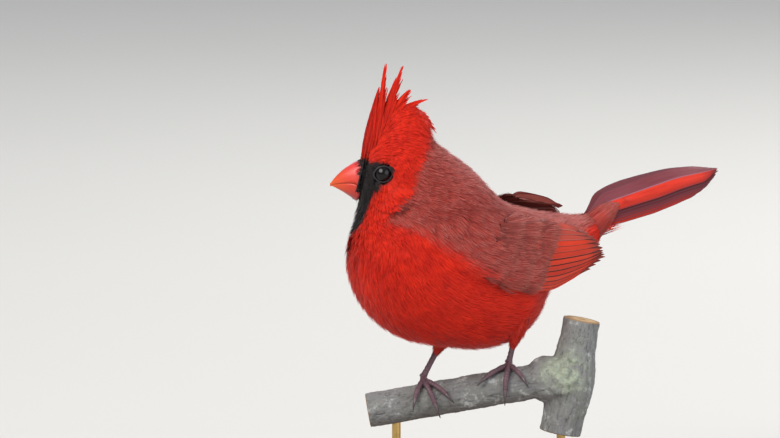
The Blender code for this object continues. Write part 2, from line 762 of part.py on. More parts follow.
def rod_bar(name, low, high, radius, finish, sides=20):
    a = np.arange(sides) * 2 * math.pi / sides
    outline = np.stack([np.cos(a), np.sin(a), np.zeros(sides)], 1) * radius
    return lofted(name, [outline + low, outline + high], finish)


def build_stand(wood_finish, metal_finish):
    length, width, height = BASE_SIZE
    corner, bevel, rings = 12.0, 1.6, []
    for z, inset in ((0, 0.8), (0.8, 0), (height - bevel, 0), (height - 0.5, 0.5), (height, bevel)):
        points = []
        for quarter in range(4):
            cx = (length / 2 - corner) * (1 if quarter in (0, 3) else -1)
            cy = (width / 2 - corner) * (1 if quarter in (0, 1) else -1)
            for k in range(6):
                a = math.pi / 2 * (quarter + k / 5)
                points.append((cx + (corner - inset) * math.cos(a),
                               BASE_CENTRE_Y + cy + (corner - inset) * math.sin(a), z))
        rings.append(np.array(points))
    base = lofted("stand_base", rings, wood_finish)
    for name, (low, high) in zip(("stand_rod_left", "stand_rod_right"), rods()):
        cut(base, rod_bar("hole", low - np.array([0, 0, GAP]), low + np.array([0, 0, 20.0]),
                          ROD_RADIUS + GAP, wood_finish))
        rod_bar(name, low, high, ROD_RADIUS, metal_finish)


# Legs and feet: where each stands along the branch, its ankle, and its toes.
# Each toe: name, end angle round the branch, shift along the branch, claw length.
FEET = {
    "right": (-24.0, (-14.5, 4.5, 83.0), (
        ("middle", 97, 3.4, 7.0), ("inner", 74, -5.0, 5.5), ("outer", 76, 9.0, 5.5), ("hind", -92, 1.0, 7.5))),
    "left": (15.0, (18.0, -3.0, 89.0), (
        ("middle", 93, -3.6, 7.0), ("inner", 50, -11.5, 5.5), ("outer", 68, 5.0, 5.5), ("hind", -92, -1.0, 7.5))),
}
TOE_HEIGHT = BRANCH_RADIUS + GAP + TOE_RADIUS


def toe_path(x, end, shift, count=8):
    """A toe's middle line, wrapped round the branch from the ball of the foot."""
    path = []
    for s in np.linspace(0, 1, count):
        lift = 0.9 * (1 - smooth(s / 0.25))
        path.append(on_branch(x + shift * smooth(s * 0.85) / smooth(0.85), end * s, TOE_HEIGHT + lift))
    return np.array(path)


def build_leg(side, thigh_finish, leg_finish, claw_finish, torso_cutter):
    x, ankle, toes = FEET[side]
    ankle = np.array(ankle)
    ball_of_foot = on_branch(x, 0, TOE_HEIGHT + 0.9)
    way = unit(ball_of_foot - ankle)
    reach = 0.0
    while depth_outside((ankle + way * reach)[None])[0] < 0:
        reach += 0.25
    knee_end = ankle + way * (reach + 3.6)
    shank = [knee_end + way * GAP]
    shank += [knee_end + (ball_of_foot - knee_end) * s for s in (0.25, 0.5, 0.75, 0.92, 1.0)]
    leg = tube(f"leg_{side}", shank, np.array([1.25, 1.2, 1.2, 1.3, 1.6, 1.7]) * TARSUS_RADIUS / 1.3, 10,
               leg_finish, side_hint=SHOWN)
    pieces = []
    for name, end, shift, claw in toes:
        path = toe_path(x, end, shift)
        bumps = TOE_RADIUS * np.array([1.0, 1.0, 0.88, 1.0, 0.84, 0.97, 0.8, 0.78])
        pieces.append(tube("toe", path, bumps, 7, leg_finish, side_hint=BRANCH_WAY))
        ahead = unit(path[-1] - path[-2])
        out = unit(path[-1] - branch_axis(x + shift))
        root = path[-1] + ahead * GAP
        claw_path = [root + ahead * claw * s + out * claw * (0.10 * math.sin(math.pi * s) - 0.05 * s)
                     for s in np.linspace(0, 1, 6)]
        tube(f"claw_{side}_{name}", claw_path, TOE_RADIUS * np.array([0.72, 0.66, 0.54, 0.4, 0.26, 0.12]), 6,
             claw_finish, side_hint=BRANCH_WAY)
    fused(leg, pieces)
    thigh = tube(f"thigh_{side}", [ankle - way * 2, ankle + way * (reach - 1.5), knee_end],
                 [6.4, 4.6, 2.3], 14, thigh_finish, side_hint=SHOWN)
    cut(thigh, torso_cutter())


def torso_cutter_maker(finish):
    def make():
        global_level = 0.35
        rings = []
        for t in np.linspace(NECK_END, TORSO_END - 2, 26):
            rings.append(grown(ring(t), section(t)[0], global_level))
        return lofted("cutter", rings, finish)
    return make


def grown(points, centre, by):
    rays = points - centre
    return points + rays / np.linalg.norm(rays, axis=1, keepdims=True) * by


def main():
    for old in list(bpy.data.objects):
        bpy.data.objects.remove(old)
    scarlet = material("scarlet_plumage", (0.60, 0.035, 0.008), 0.8)
    crest_red = material("crest_plumage", (0.52, 0.03, 0.006), 0.75)
    dull_red = material("wing_plumage", (0.30, 0.06, 0.04), 0.7)
    tail_red = material("tail_plumage", (0.33, 0.05, 0.04), 0.65)
    coral = material("bill_horn", (0.70, 0.12, 0.04), 0.4)
    eye = material("eye", (0.01, 0.008, 0.008), 0.1)
    skin = material("leg_skin", (0.13, 0.07, 0.075), 0.6)
    claw = material("claw_horn", (0.03, 0.02, 0.02), 0.4)
    bark_finish = material("bark", (0.17, 0.165, 0.155), 0.9)
    walnut = material("stand_wood", (0.09, 0.045, 0.025), 0.45)
    steel = material("stand_rod", (0.45, 0.40, 0.30), 0.35, 1.0)

    build_head(crest_red)
    body_length("neck", HEAD_END, NECK_END, 5, scarlet)
    body_length("torso", NECK_END, TORSO_END, 18, scarlet)
    build_eyes(eye)
    bill_half("bill_upper", True, coral)
    bill_half("bill_lower", False, coral)
    build_wing("wing_left", 1, dull_red)
    build_wing("wing_right", -1, dull_red)
    build_tail(tail_red)
    maker = torso_cutter_maker(scarlet)
    for side in FEET:
        build_leg(side, scarlet, skin, claw, maker)
    build_perch(bark_finish)
    build_stand(walnut, steel)
    for made in bpy.data.objects:
        if made.type == "MESH":
            made.data.shade_smooth()
            made.data.set_sharp_from_angle(angle=math.radians(40))


main()
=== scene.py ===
# The looks of a male northern cardinal on its cut branch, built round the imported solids.
# Lengths are in millimetres until a mesh is made. -X is the bill's side, -Y the side that shows.
import math

import bpy
import numpy as np
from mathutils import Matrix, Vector, noise


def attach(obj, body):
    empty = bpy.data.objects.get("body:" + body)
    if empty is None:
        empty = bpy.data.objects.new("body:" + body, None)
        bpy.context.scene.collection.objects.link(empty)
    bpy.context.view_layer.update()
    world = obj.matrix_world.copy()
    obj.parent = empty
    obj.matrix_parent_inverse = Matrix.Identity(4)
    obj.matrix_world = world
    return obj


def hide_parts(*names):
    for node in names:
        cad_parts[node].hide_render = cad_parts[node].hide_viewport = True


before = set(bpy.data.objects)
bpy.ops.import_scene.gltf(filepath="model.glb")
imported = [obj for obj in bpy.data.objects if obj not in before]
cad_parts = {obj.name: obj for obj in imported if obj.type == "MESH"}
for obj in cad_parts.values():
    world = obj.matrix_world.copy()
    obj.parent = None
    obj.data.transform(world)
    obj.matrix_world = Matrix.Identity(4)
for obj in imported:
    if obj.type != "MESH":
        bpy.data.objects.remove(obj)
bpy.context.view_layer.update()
dice = np.random.default_rng(11)
print("solids loaded:", len(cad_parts), "nodes")


# Small helpers

def unit(v):
    v = np.asarray(v, float)
    return v / np.linalg.norm(v, axis=-1, keepdims=True)


def smooth(t):
    t = np.clip(t, 0, 1)
    return t * t * (3 - 2 * t)


def turned(yaw, pitch=0.0, roll=0.0):
    # columns are forward, left and up of something that faces -X, turned to -Y by yaw
    yaw, pitch, roll = (math.radians(v) for v in (yaw, pitch, roll))
    heading = np.array([-math.cos(yaw), -math.sin(yaw), 0.0])
    left = np.array([math.sin(yaw), -math.cos(yaw), 0.0])
    forward = heading * math.cos(pitch) + np.array([0, 0, math.sin(pitch)])
    up = np.cross(forward, left)
    rolled = left * math.cos(roll) + up * math.sin(roll)
    return np.stack([forward, rolled, np.cross(forward, rolled)], 1)


def along(table, t):
    # a smooth curve through the rows of a table
    table = np.asarray(table, float)
    t = np.clip(np.asarray(t, float), 0, len(table) - 1)
    i = np.clip(np.floor(t).astype(int), 0, len(table) - 2)
    f = (t - i)[..., None]
    before, a = table[np.maximum(i - 1, 0)], table[i]
    b, after = table[i + 1], table[np.minimum(i + 2, len(table) - 1)]
    return 0.5 * (2 * a + (b - before) * f + (2 * before - 5 * a + 4 * b - after) * f ** 2
                  + (3 * a - before - 3 * b + after) * f ** 3)


def tone(red, green, blue):
    # a colour as seen, 0 to 255, as the shader's linear colour
    def linear(v):
        v = v / 255
        return v / 12.92 if v < 0.04045 else ((v + 0.055) / 1.055) ** 2.4
    return (linear(red), linear(green), linear(blue), 1.0)


def makeMesh(name, points, faces, maps=None, marks=None, smoothShade=True, normals=None):
    # points in mm; faces all of one count; maps are UV maps and marks a colour, both given for each point
    points = np.asarray(points, np.float32).reshape(-1, 3) * 0.001
    faces = np.asarray(faces, np.int32)
    corners = faces.shape[1]
    mesh = bpy.data.meshes.new(name)
    mesh.vertices.add(len(points))
    mesh.vertices.foreach_set("co", points.ravel())
    mesh.loops.add(faces.size)
    mesh.loops.foreach_set("vertex_index", faces.ravel())
    mesh.polygons.add(len(faces))
    mesh.polygons.foreach_set("loop_start", np.arange(len(faces), dtype=np.int32) * corners)
    mesh.update(calc_edges=True)
    mesh.validate()
    for title, uv in (maps or {}).items():
        layer = mesh.uv_layers.new(name=title)
        layer.data.foreach_set("uv", np.asarray(uv, np.float32).reshape(-1, 2)[faces.ravel()].ravel())
    if marks is not None:
        paint = mesh.attributes.new("mark", "FLOAT_COLOR", "POINT")
        paint.data.foreach_set("color", np.asarray(marks, np.float32).reshape(-1, 4).ravel())
    mesh.polygons.foreach_set("use_smooth", np.full(len(faces), smoothShade))
    if normals is not None:
        mesh.normals_split_custom_set_from_vertices(np.asarray(normals, np.float32).reshape(-1, 3))
    made = bpy.data.objects.new(name.replace(" ", "_"), mesh)
    bpy.context.scene.collection.objects.link(made)
    return made


def place(piece, finish, slot, replaced=()):
    piece.data.materials.clear()
    piece.data.materials.append(finish)
    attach(piece, "root")
    if replaced:
        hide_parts(*replaced)
    return piece


def gridFaces(rows, columns, closed=False):
    # quads of a grid of points; closed joins its last column to its first
    across = columns if closed else columns - 1
    i, j = np.meshgrid(np.arange(rows - 1), np.arange(across), indexing="ij")
    a = i * columns + j
    b = i * columns + (j + 1) % columns
    return np.stack([a, b, b + columns, a + columns], -1).reshape(-1, 4)


def loft(rings, capped=True):
    # points and faces of a closed tube through rings, with each end drawn to its middle
    rings = np.asarray(rings, float)
    if capped:
        first, last = rings[0].mean(0), rings[-1].mean(0)
        rings = np.concatenate([np.broadcast_to(first, rings[:1].shape), rings,
                                np.broadcast_to(last, rings[:1].shape)])
    rows, columns = rings.shape[:2]
    return rings.reshape(-1, 3), gridFaces(rows, columns, True)


# Materials: a socket that takes Python's own arithmetic, and a finish that adds nodes

class Wire:
    def __init__(self, tree, socket):
        self.tree, self.socket = tree, socket

    def combine(self, operation, other, swapped=False):
        node = self.tree.nodes.new("ShaderNodeMath")
        node.operation = operation
        pair = (other, self) if swapped else (self, other)
        for socket, value in zip(node.inputs, pair):
            feed(self.tree, socket, value)
        return Wire(self.tree, node.outputs[0])

    def __add__(self, other):
        return self.combine("ADD", other)

    def __sub__(self, other):
        return self.combine("SUBTRACT", other)

    def __rsub__(self, other):
        return self.combine("SUBTRACT", other, True)

    def __mul__(self, other):
        return self.combine("MULTIPLY", other)

    __radd__, __rmul__ = __add__, __mul__


def feed(tree, socket, value):
    if isinstance(value, Wire):
        tree.links.new(value.socket, socket)
    else:
        socket.default_value = value


class Finish:
    def __init__(self, name, **constants):
        self.material = bpy.data.materials.new(name)
        self.material.use_nodes = True
        self.tree = self.material.node_tree
        self.shader = self.tree.nodes["Principled BSDF"]
        for title, value in constants.items():
            self.shader.inputs[title.replace("_", " ")].default_value = value

    def node(self, kind, settings=None, sockets=None, output=0):
        made = self.tree.nodes.new("ShaderNode" + kind)
        for title, value in (settings or {}).items():
            if title == "stops":
                while len(made.color_ramp.elements) < len(value):
                    made.color_ramp.elements.new(0.5)
                for stop, (position, level) in zip(made.color_ramp.elements, value):
                    stop.position = position
                    stop.color = level if isinstance(level, tuple) else (level, level, level, 1)
            else:
                setattr(made, title, value)
        for title, value in (sockets or {}).items():
            feed(self.tree, made.inputs[title], value)
        return Wire(self.tree, made.outputs[output])

    def mix(self, share, a, b, way="MIX"):
        return self.node("Mix", {"data_type": "RGBA", "blend_type": way, "clamp_factor": True},
                         {0: share, 6: a, 7: b}, 2)

    def ramp(self, value, *stops):
        return self.node("ValToRGB", {"stops": stops}, {0: value})

    def clouds(self, scale, detail=4.0, rough=0.55, vector=None, stretch=None):
        where = vector or self.node("TexCoord", output=3)
        if stretch:
            where = self.node("Mapping", None, {"Vector": where, "Scale": stretch})
        return self.node("TexNoise", None, {"Vector": where, "Scale": scale, "Detail": detail,
                                            "Roughness": rough})

    def set(self, title, value):
        feed(self.tree, self.shader.inputs[title], value)

    def bump(self, height, strength, distance):
        self.set("Normal", self.node("Bump", None, {"Height": height, "Strength": strength,
                                                    "Distance": distance}))

    def mark(self):
        # the three shares that a coat's points carry: black, dull, chance
        colour = self.node("Attribute", {"attribute_name": "mark"})
        return [self.node("SeparateColor", None, {0: colour}, i) for i in range(3)]

    def vane(self):
        # across a feather from -1 to 1, and along it from 0 to 1
        where = self.node("UVMap", {"uv_map": "vane"})
        split = [self.node("SeparateXYZ", None, {0: where}, i) for i in range(2)]
        return split[0] * 2.0 - 1.0, split[1]


# The body's form: the same blend of rounded masses that the solids are drawn from

form = {
    "bodyCentre": (-12.0, 0.0, 112.0), "bodyYaw": 28.0,
    "headCentre": (-36.0, -14.0, 158.0), "headYaw": 3.0, "headPitch": -6.0,
    "tailRise": 14.0, "tailRoll": -45.0, "tailLength": 71.5,
}
bodyWay = turned(form["bodyYaw"])
headWay = turned(form["headYaw"], form["headPitch"])


def bodyPoint(forward, left, up):
    return np.array(form["bodyCentre"]) + np.stack(np.broadcast_arrays(forward, left, up), -1) @ bodyWay.T


def headPoint(forward, left, up):
    return np.array(form["headCentre"]) + np.stack(np.broadcast_arrays(forward, left, up), -1) @ headWay.T


def inBody(points):
    return (points - np.array(form["bodyCentre"])) @ bodyWay


def inHead(points):
    return (points - np.array(form["headCentre"])) @ headWay


# each mass: centre, directions, half sizes, blend
masses = (
    (bodyPoint(1, 0, 0), turned(28, 26), (49.5, 32, 35.5), 0),        # body
    (bodyPoint(25, 0, -2), turned(28, 60), (29.5, 27, 23), 14),       # breast
    (bodyPoint(-40, 0, 11), turned(28, 6), (27, 18, 12.5), 18),       # rump
    (bodyPoint(-49, 0, 5), turned(28, -22), (22, 14, 9), 14),         # vent
    (bodyPoint(-62, 0, 11), turned(28, -18), (20, 9, 6.5), 8),        # root of the tail
    (bodyPoint(13, 2, 28), turned(14, 50), (32, 20, 22), 16),         # neck
    (bodyPoint(3, 3, 34), turned(14, 48), (26, 14, 12), 12),          # nape
    (bodyPoint(28, 2, 20), turned(10, 70), (24, 15, 15), 12),         # throat
    (headPoint(0, 0, 0), turned(3, -6), (19, 13.5, 15.5), 10),        # skull
    (headPoint(12, 0, -3), turned(3, -12), (10, 8.5, 11), 6),         # face
    (headPoint(-3.5, 0, 18), turned(3, -35), (12, 6, 11), 8),         # under the crest
)
# section planes from bill to tail: X and Z of their throat end, then of their back end
guides = (
    (-56.9, 143.0, -51.9, 163.5), (-59.5, 139.7, -47.7, 176.8), (-60.5, 137.0, -40.9, 186.0),
    (-60.9, 134.2, -29.5, 185.0), (-61.4, 131.0, -20.9, 175.9), (-61.4, 127.4, -15.5, 165.8),
    (-61.4, 122.8, -9.5, 159.4), (-60.9, 115.5, -2.3, 153.9), (-58.6, 103.1, 5.0, 149.8),
    (-49.1, 88.0, 11.4, 147.0), (-31.8, 77.0, 17.3, 145.2), (-11.4, 72.9, 23.2, 143.4),
    (7.7, 73.8, 28.6, 141.6), (25.9, 83.4, 34.1, 140.2), (37.3, 97.1, 39.1, 139.3),
    (45.5, 106.3, 42.7, 138.4), (53.2, 114.5, 46.4, 136.5),
)


def outside(points):
    # about how far points lie outside the plumage, less than 0 inside it
    total = None
    for centre, way, half, blend in masses:
        local = (points - centre) @ way
        near = np.linalg.norm(local / half, axis=-1)
        near = near * (near - 1) / (np.linalg.norm(local / np.square(half), axis=-1) + 1e-9)
        if total is None:
            total = near
            continue
        share = np.clip(0.5 + 0.5 * (near - total) / blend, 0, 1)
        total = near + (total - near) * share - blend * share * (1 - share)
    return total


def sectionPlanes(t):
    vx, vz, dx, dz = along(guides, t).T
    x = (vx + dx) / 2
    share = smooth((t - 4.0) / 3.0)
    yaw = np.radians(form["headYaw"] + (form["bodyYaw"] - form["headYaw"]) * share)
    atHead = form["headCentre"][1] + (x - form["headCentre"][0]) * math.tan(math.radians(form["headYaw"]))
    atBody = form["bodyCentre"][1] + (x - form["bodyCentre"][0]) * math.tan(math.radians(form["bodyYaw"]))
    centre = np.stack([x, atHead + (atBody - atHead) * share, (vz + dz) / 2], -1)
    up = unit(np.stack([dx - vx, (dx - vx) * np.tan(yaw), dz - vz], -1))
    left = np.stack([np.sin(yaw), -np.cos(yaw), np.zeros_like(yaw)], -1)
    return centre, left, up


# Bill: its base line on the face, and its own directions

bill = {
    "base": (-54.0, -14.9, 154.4), "pitch": -10.0, "length": 14.4, "halfWidth": 6.3,
    "top": 8.7, "bottom": 9.0,
}
billWay = turned(form["headYaw"], bill["pitch"])
faceCentre, faceLeft, faceUp = (v[0] for v in sectionPlanes(np.array([0.0])))
faceAft = np.cross(faceUp, faceLeft)


def billBaseAt(left, up):
    # the point on the face's plane that lies at left and up of the bill's axis
    start = np.array(bill["base"]) + np.stack(np.broadcast_arrays(0.0, left, up), -1) @ billWay.T
    slide = -((start - faceCentre) @ faceAft) / (billWay[:, 0] @ faceAft)
    return start + slide[..., None] * billWay[:, 0]


# The coat's bed: a grid of points over the body, with t along it and a round it from the back

bed = {"from": -0.8, "rows": 170, "columns": 160}
bedT = np.linspace(bed["from"], 16.0, bed["rows"])
bedA = np.arange(bed["columns"]) * 2 * math.pi / bed["columns"]


def bedGrid():
    centre, left, up = sectionPlanes(np.maximum(bedT, 0.0))
    rays = np.cos(bedA)[None, :, None] * up[:, None] + np.sin(bedA)[None, :, None] * left[:, None]
    high = np.full(rays.shape[:2], np.nan)
    for reach in np.arange(1.0, 75.0, 1.5):
        out = outside(centre[:, None] + rays * reach) > 0
        high[out & np.isnan(high)] = reach
    low = high - 1.5
    for _ in range(13):
        middle = (low + high) / 2
        out = outside(centre[:, None] + rays * middle[..., None]) > 0
        high, low = np.where(out, middle, high), np.where(out, low, middle)
    points = centre[:, None] + rays * high[..., None]
    # rows before 0 draw in from the face's edge to the bill's base, with a rounded brow and chin
    ahead = bedT < 0
    share = (1 + bedT[ahead] / -bed["from"])[:, None, None]
    rim = billBaseAt(np.sin(bedA) * (bill["halfWidth"] - 0.3), np.cos(bedA) * 8.4 - 0.2)
    first = points[np.argmin(ahead)]
    swell = np.sin(math.pi * share) * 0.9
    points[ahead] = rim * (1 - share) + first * share - faceAft * swell
    return points


class Bed:
    # a grid of points that feathers lie on, with t along it and a round or across it
    def __init__(self, points, t, a, closed=True, facing=None):
        self.points, self.t, self.a, self.closed = points, t, a, closed
        self.stepT, self.stepA = t[1] - t[0], a[1] - a[0]
        self.slopeT = np.gradient(points, self.stepT, axis=0)
        # the most that one mm may move a feather along t, and how many mm a t of 1 is worth
        self.most = 0.4 if closed and len(t) > 60 else 10.0
        self.scale = float(np.median(np.linalg.norm(self.slopeT, axis=-1)))
        if closed:
            wrapped = np.concatenate([points[:, -1:], points, points[:, :1]], 1)
            self.slopeA = (wrapped[:, 2:] - wrapped[:, :-2]) / (2 * self.stepA)
        else:
            self.slopeA = np.gradient(points, self.stepA, axis=1)
        self.normals = unit(np.cross(self.slopeA, self.slopeT))
        out = points - points.mean(1, keepdims=True) if facing is None else facing
        self.normals[np.sum(self.normals * out, -1) < 0] *= -1

    def read(self, grid, t, a):
        # reads a grid between its points
        rows, columns = grid.shape[:2]
        i = np.clip((t - self.t[0]) / self.stepT, 0, rows - 1.001)
        j = (a - self.a[0]) / self.stepA
        j = j % columns if self.closed else np.clip(j, 0, columns - 1.001)
        i0, j0 = np.floor(i).astype(int), np.floor(j).astype(int)
        fi, fj = i - i0, j - j0
        j0 = j0 % columns
        j1 = (j0 + 1) % columns
        if grid.ndim == 3:
            fi, fj = fi[..., None], fj[..., None]
        return ((grid[i0, j0] * (1 - fj) + grid[i0, j1] * fj) * (1 - fi)
                + (grid[i0 + 1, j0] * (1 - fj) + grid[i0 + 1, j1] * fj) * fi)

    def bakePlace(self, t, a):
        # a place on the unwrap of the bed's own shape
        share = (a - self.a[0]) / (self.stepA * len(self.a))
        return (0.02 + 0.96 * (t - self.t[0]) / (self.t[-1] - self.t[0]),
                0.02 + 0.96 * (share % 1.0 if self.closed else np.clip(share, 0, 1)))


bedPoints = bedGrid()
coatBed = Bed(bedPoints, bedT, bedA)
bedSide = inBody(bedPoints)
print("bed of the coat:", bedPoints.shape)


# Wings, laid out in the body's side view: forward and up from the body's centre

wing = {
    "lift": 0.9,
    "lower": ((26, 15), (15, 3), (-4, -6), (-26, -10), (-46, -9.5), (-60, -6), (-70, 0)),
    "upper": ((24, 24), (12, 30), (-6, 30.5), (-24, 27.5), (-42, 21), (-57, 11), (-70, 2)),
    "coverTo": -20.0, "coverHeight": 5.0,
    "farRise": 12.0,    # how much higher the far wing's tertials are held over the back
}


def wingEdges(forward):
    lower, upper = np.array(wing["lower"], float)[::-1], np.array(wing["upper"], float)[::-1]
    return np.interp(forward, lower[:, 0], lower[:, 1]), np.interp(forward, upper[:, 0], upper[:, 1])


def wingBed(side):
    # t runs aft from the shoulder and a runs up
    t, a = np.linspace(-32, 78, 111), np.linspace(-20, 40, 61)
    f, u = np.meshgrid(-t, a, indexing="ij")
    if side < 0:
        u = u + wing["farRise"] * smooth((u + 2) / 18) * smooth((-22 - f) / 18)
    low, high = np.zeros(f.shape), np.full(f.shape, 50.0)
    for _ in range(18):
        middle = (low + high) / 2
        out = outside(bodyPoint(f, side * middle, u)) > wing["lift"]
        high, low = np.where(out, middle, high), np.where(out, low, middle)
    free = (14.5 - 0.28 * u) * smooth((-14 - f) / 30)
    share = np.clip(0.5 + 0.5 * (high - free) / 4.0, 0, 1)
    points = bodyPoint(f, side * (free + (high - free) * share + 4.0 * share * (1 - share)), u)
    return Bed(points, t, a, False, side * bodyWay[:, 1])


wingBeds = {side: wingBed(side) for side in (1, -1)}


def wingPlace(side, forward, up, height):
    # a point over the folded wing's bed, height mm out from it
    own = wingBeds[side]
    normal = unit(own.read(own.normals, -forward, up))
    return own.read(own.points, -forward, up) + normal * np.asarray(height)[..., None]


def coverLift():
    # how far the small feathers stand off the body where they lie over the front of a wing
    forward, out, up = np.moveaxis(bedSide, -1, 0)
    low, high = wingEdges(forward)
    share = (up - low) / (high - low)
    inside = smooth(share / 0.22 + 0.25) * smooth((1 - share) / 0.2 + 0.25)
    ends = -40 - 12 * smooth((share - 0.45) / 0.25)
    inside *= smooth((26 - forward) / 16) * smooth((forward - ends) / 12) * (np.abs(out) > 8)
    inside *= (share > -0.2) & (share < 1.2)
    return inside * wing["coverHeight"]


# Marks: where the plumage is black and where it is dull, in the head's frame and along the bed

marks = {
    "mask": ((18, 11), (16.5, 8.4), (13.2, 7.2), (9.5, 6.6), (6.2, 5.6), (3.6, 2.6), (3.0, 0.2), (5.2, -2.4),
             (9.4, -5.2), (12.3, -7.0), (14.8, -9.4), (17.0, -13.2), (19.4, -17.8), (22.4, -22.3), (26, -26),
             (34, -27), (34, 11)),
    # the ear's feathers, and the crease under them, where a painted shadow darkens the coat
    "cheek": ((8, -6), (3, -3), (-1, -5), (-1.5, -9), (1, -12), (5, -14), (9, -14.5), (11, -11)),
    "creaseShadow": ((8.6, -18.0), (4.6, -17.4), (0.8, -16.3), (-3.8, -13.1), (-3.2, -12.3), (1.2, -15.2),
               (4.8, -16.5), (8.6, -17.4)),
    "dullFrom": ((3.9, 0), (4.3, 20), (4.45, 40), (4.6, 50), (4.9, 60), (5.1, 72), (5.25, 98), (5.35, 124),
                 (5.7, 120), (6.1, 115), (6.9, 105), (7.9, 95), (8.4, 91), (9.5, 90), (10.1, 94), (10.8, 96),
                 (11.5, 99), (13.0, 74), (16.0, 62)),
}


def insidePolygon(x, y, polygon):
    # signed distance to a polygon's edge, more than 0 inside it
    polygon = np.array(polygon, float)
    least, inside = np.full(np.shape(x), 1e9), np.zeros(np.shape(x), bool)
    for (ax, ay), (bx, by) in zip(polygon, np.roll(polygon, -1, 0)):
        t = np.clip(((x - ax) * (bx - ax) + (y - ay) * (by - ay)) / ((bx - ax) ** 2 + (by - ay) ** 2), 0, 1)
        least = np.minimum(least, np.hypot(x - ax - t * (bx - ax), y - ay - t * (by - ay)))
        crossing = (ay > y) != (by > y)
        with np.errstate(divide="ignore", invalid="ignore"):
            inside ^= crossing & (x < (bx - ax) * (y - ay) / (by - ay) + ax)
    return np.where(inside, least, -least)


def coatMarks(points, t, a):
    # black and dull shares of the plumage at points of the coat; the black share also holds the painted shadow along
    # the crease
    head = inHead(points)
    black = smooth(insidePolygon(head[..., 0], head[..., 2], marks["mask"]) / 1.4 + 0.5) * (t < 6.5)
    # painted shadow: the crease under the ear's feathers is painted six tenths black
    creaseShadow = smooth(insidePolygon(head[..., 0], head[..., 2], marks["creaseShadow"]) / 0.7 + 0.7)
    black = np.maximum(black, 0.6 * creaseShadow)
    edge = np.interp(t, *np.array(marks["dullFrom"], float).T)
    fromBack = np.degrees(np.abs((a + math.pi) % (2 * math.pi) - math.pi))
    dull = smooth((edge - fromBack) / 16 + 0.5) * smooth((t - 3.4) / 0.8)
    return black, dull


# Feathers

def barbFan(count, seed, segments=3, ragged=0.14, narrow=1.0, roundness=0.30):
    # a soft feather as a fan of barbs: where each point is across and along, its height, its lean, and the faces
    chance = np.random.default_rng(seed)
    across, length, height, tilt, faces = [], [], [], [], []
    for k in range(count):
        x = 2 * (k + 0.5) / count - 1
        tip = 1 - roundness * x * x - ragged * chance.random()
        lean = x * narrow + 0.10 * chance.normal()
        own = chance.normal() * 0.30
        start = len(across)
        for s in range(segments + 1):
            r = 0.04 + (tip - 0.04) * s / segments
            middle = x * 0.30 + (lean - x * 0.30) * math.sin(min(1.0, r * 1.25) * math.pi / 2)
            half = 1.25 / count * (1.0, 0.95, 0.62, 0.0)[round(3 * s / segments)]
            lift = -0.20 * middle * middle + 0.04 * chance.normal()
            for side in ((-1, 1) if s < segments else (0,)):
                across.append(middle + side * half)
                length.append(r)
                height.append(lift)
                tilt.append(own + 0.25 * middle)
        for s in range(segments):
            a = start + 2 * s
            if s < segments - 1:
                faces += [(a, a + 3, a + 1), (a, a + 2, a + 3)]
            else:
                faces.append((a, a + 2, a + 1))
    return np.array(across), np.array(length), np.array(height), np.array(tilt), np.array(faces)


def scatter(spacingAt, wanted, tries=52000):
    # places on the bed at least the local spacing apart: t and a of each
    cell = np.linalg.norm(np.cross(coatBed.slopeT, coatBed.slopeA), axis=-1) * coatBed.stepT * coatBed.stepA
    spacing = spacingAt(bedT[:, None] + 0 * bedA, bedA + 0 * bedT[:, None])
    weight = np.where(wanted, cell / spacing ** 2, 0).ravel()
    picks = dice.choice(weight.size, tries, p=weight / weight.sum())
    i, j = np.unravel_index(picks, cell.shape)
    t = bedT[0] + (np.minimum(i, bed["rows"] - 2) + dice.random(tries)) * (bedT[1] - bedT[0])
    a = (j + dice.random(tries)) * bedA[1]
    points = coatBed.read(bedPoints, t, a)
    apart = coatBed.read(spacing, t, a)
    # what is kept is filed by cubes as wide as the widest spacing, so that only near ones are compared
    cubes, kept = {}, []
    size = float(spacing.max())
    keys = np.floor(points / size).astype(int).tolist()
    around = [(dx, dy, dz) for dx in (-1, 0, 1) for dy in (-1, 0, 1) for dz in (-1, 0, 1)]

    def isClear(key, spot, least):
        px, py, pz = spot
        for dx, dy, dz in around:
            for qx, qy, qz in cubes.get((key[0] + dx, key[1] + dy, key[2] + dz), ()):
                if (px - qx) ** 2 + (py - qy) ** 2 + (pz - qz) ** 2 < least:
                    return False
        return True
    for n, (key, spot, gap) in enumerate(zip(keys, points.tolist(), apart.tolist())):
        if isClear(key, spot, gap ** 2):
            cubes.setdefault(tuple(key), []).append(spot)
            kept.append(n)
    return t[kept], a[kept]


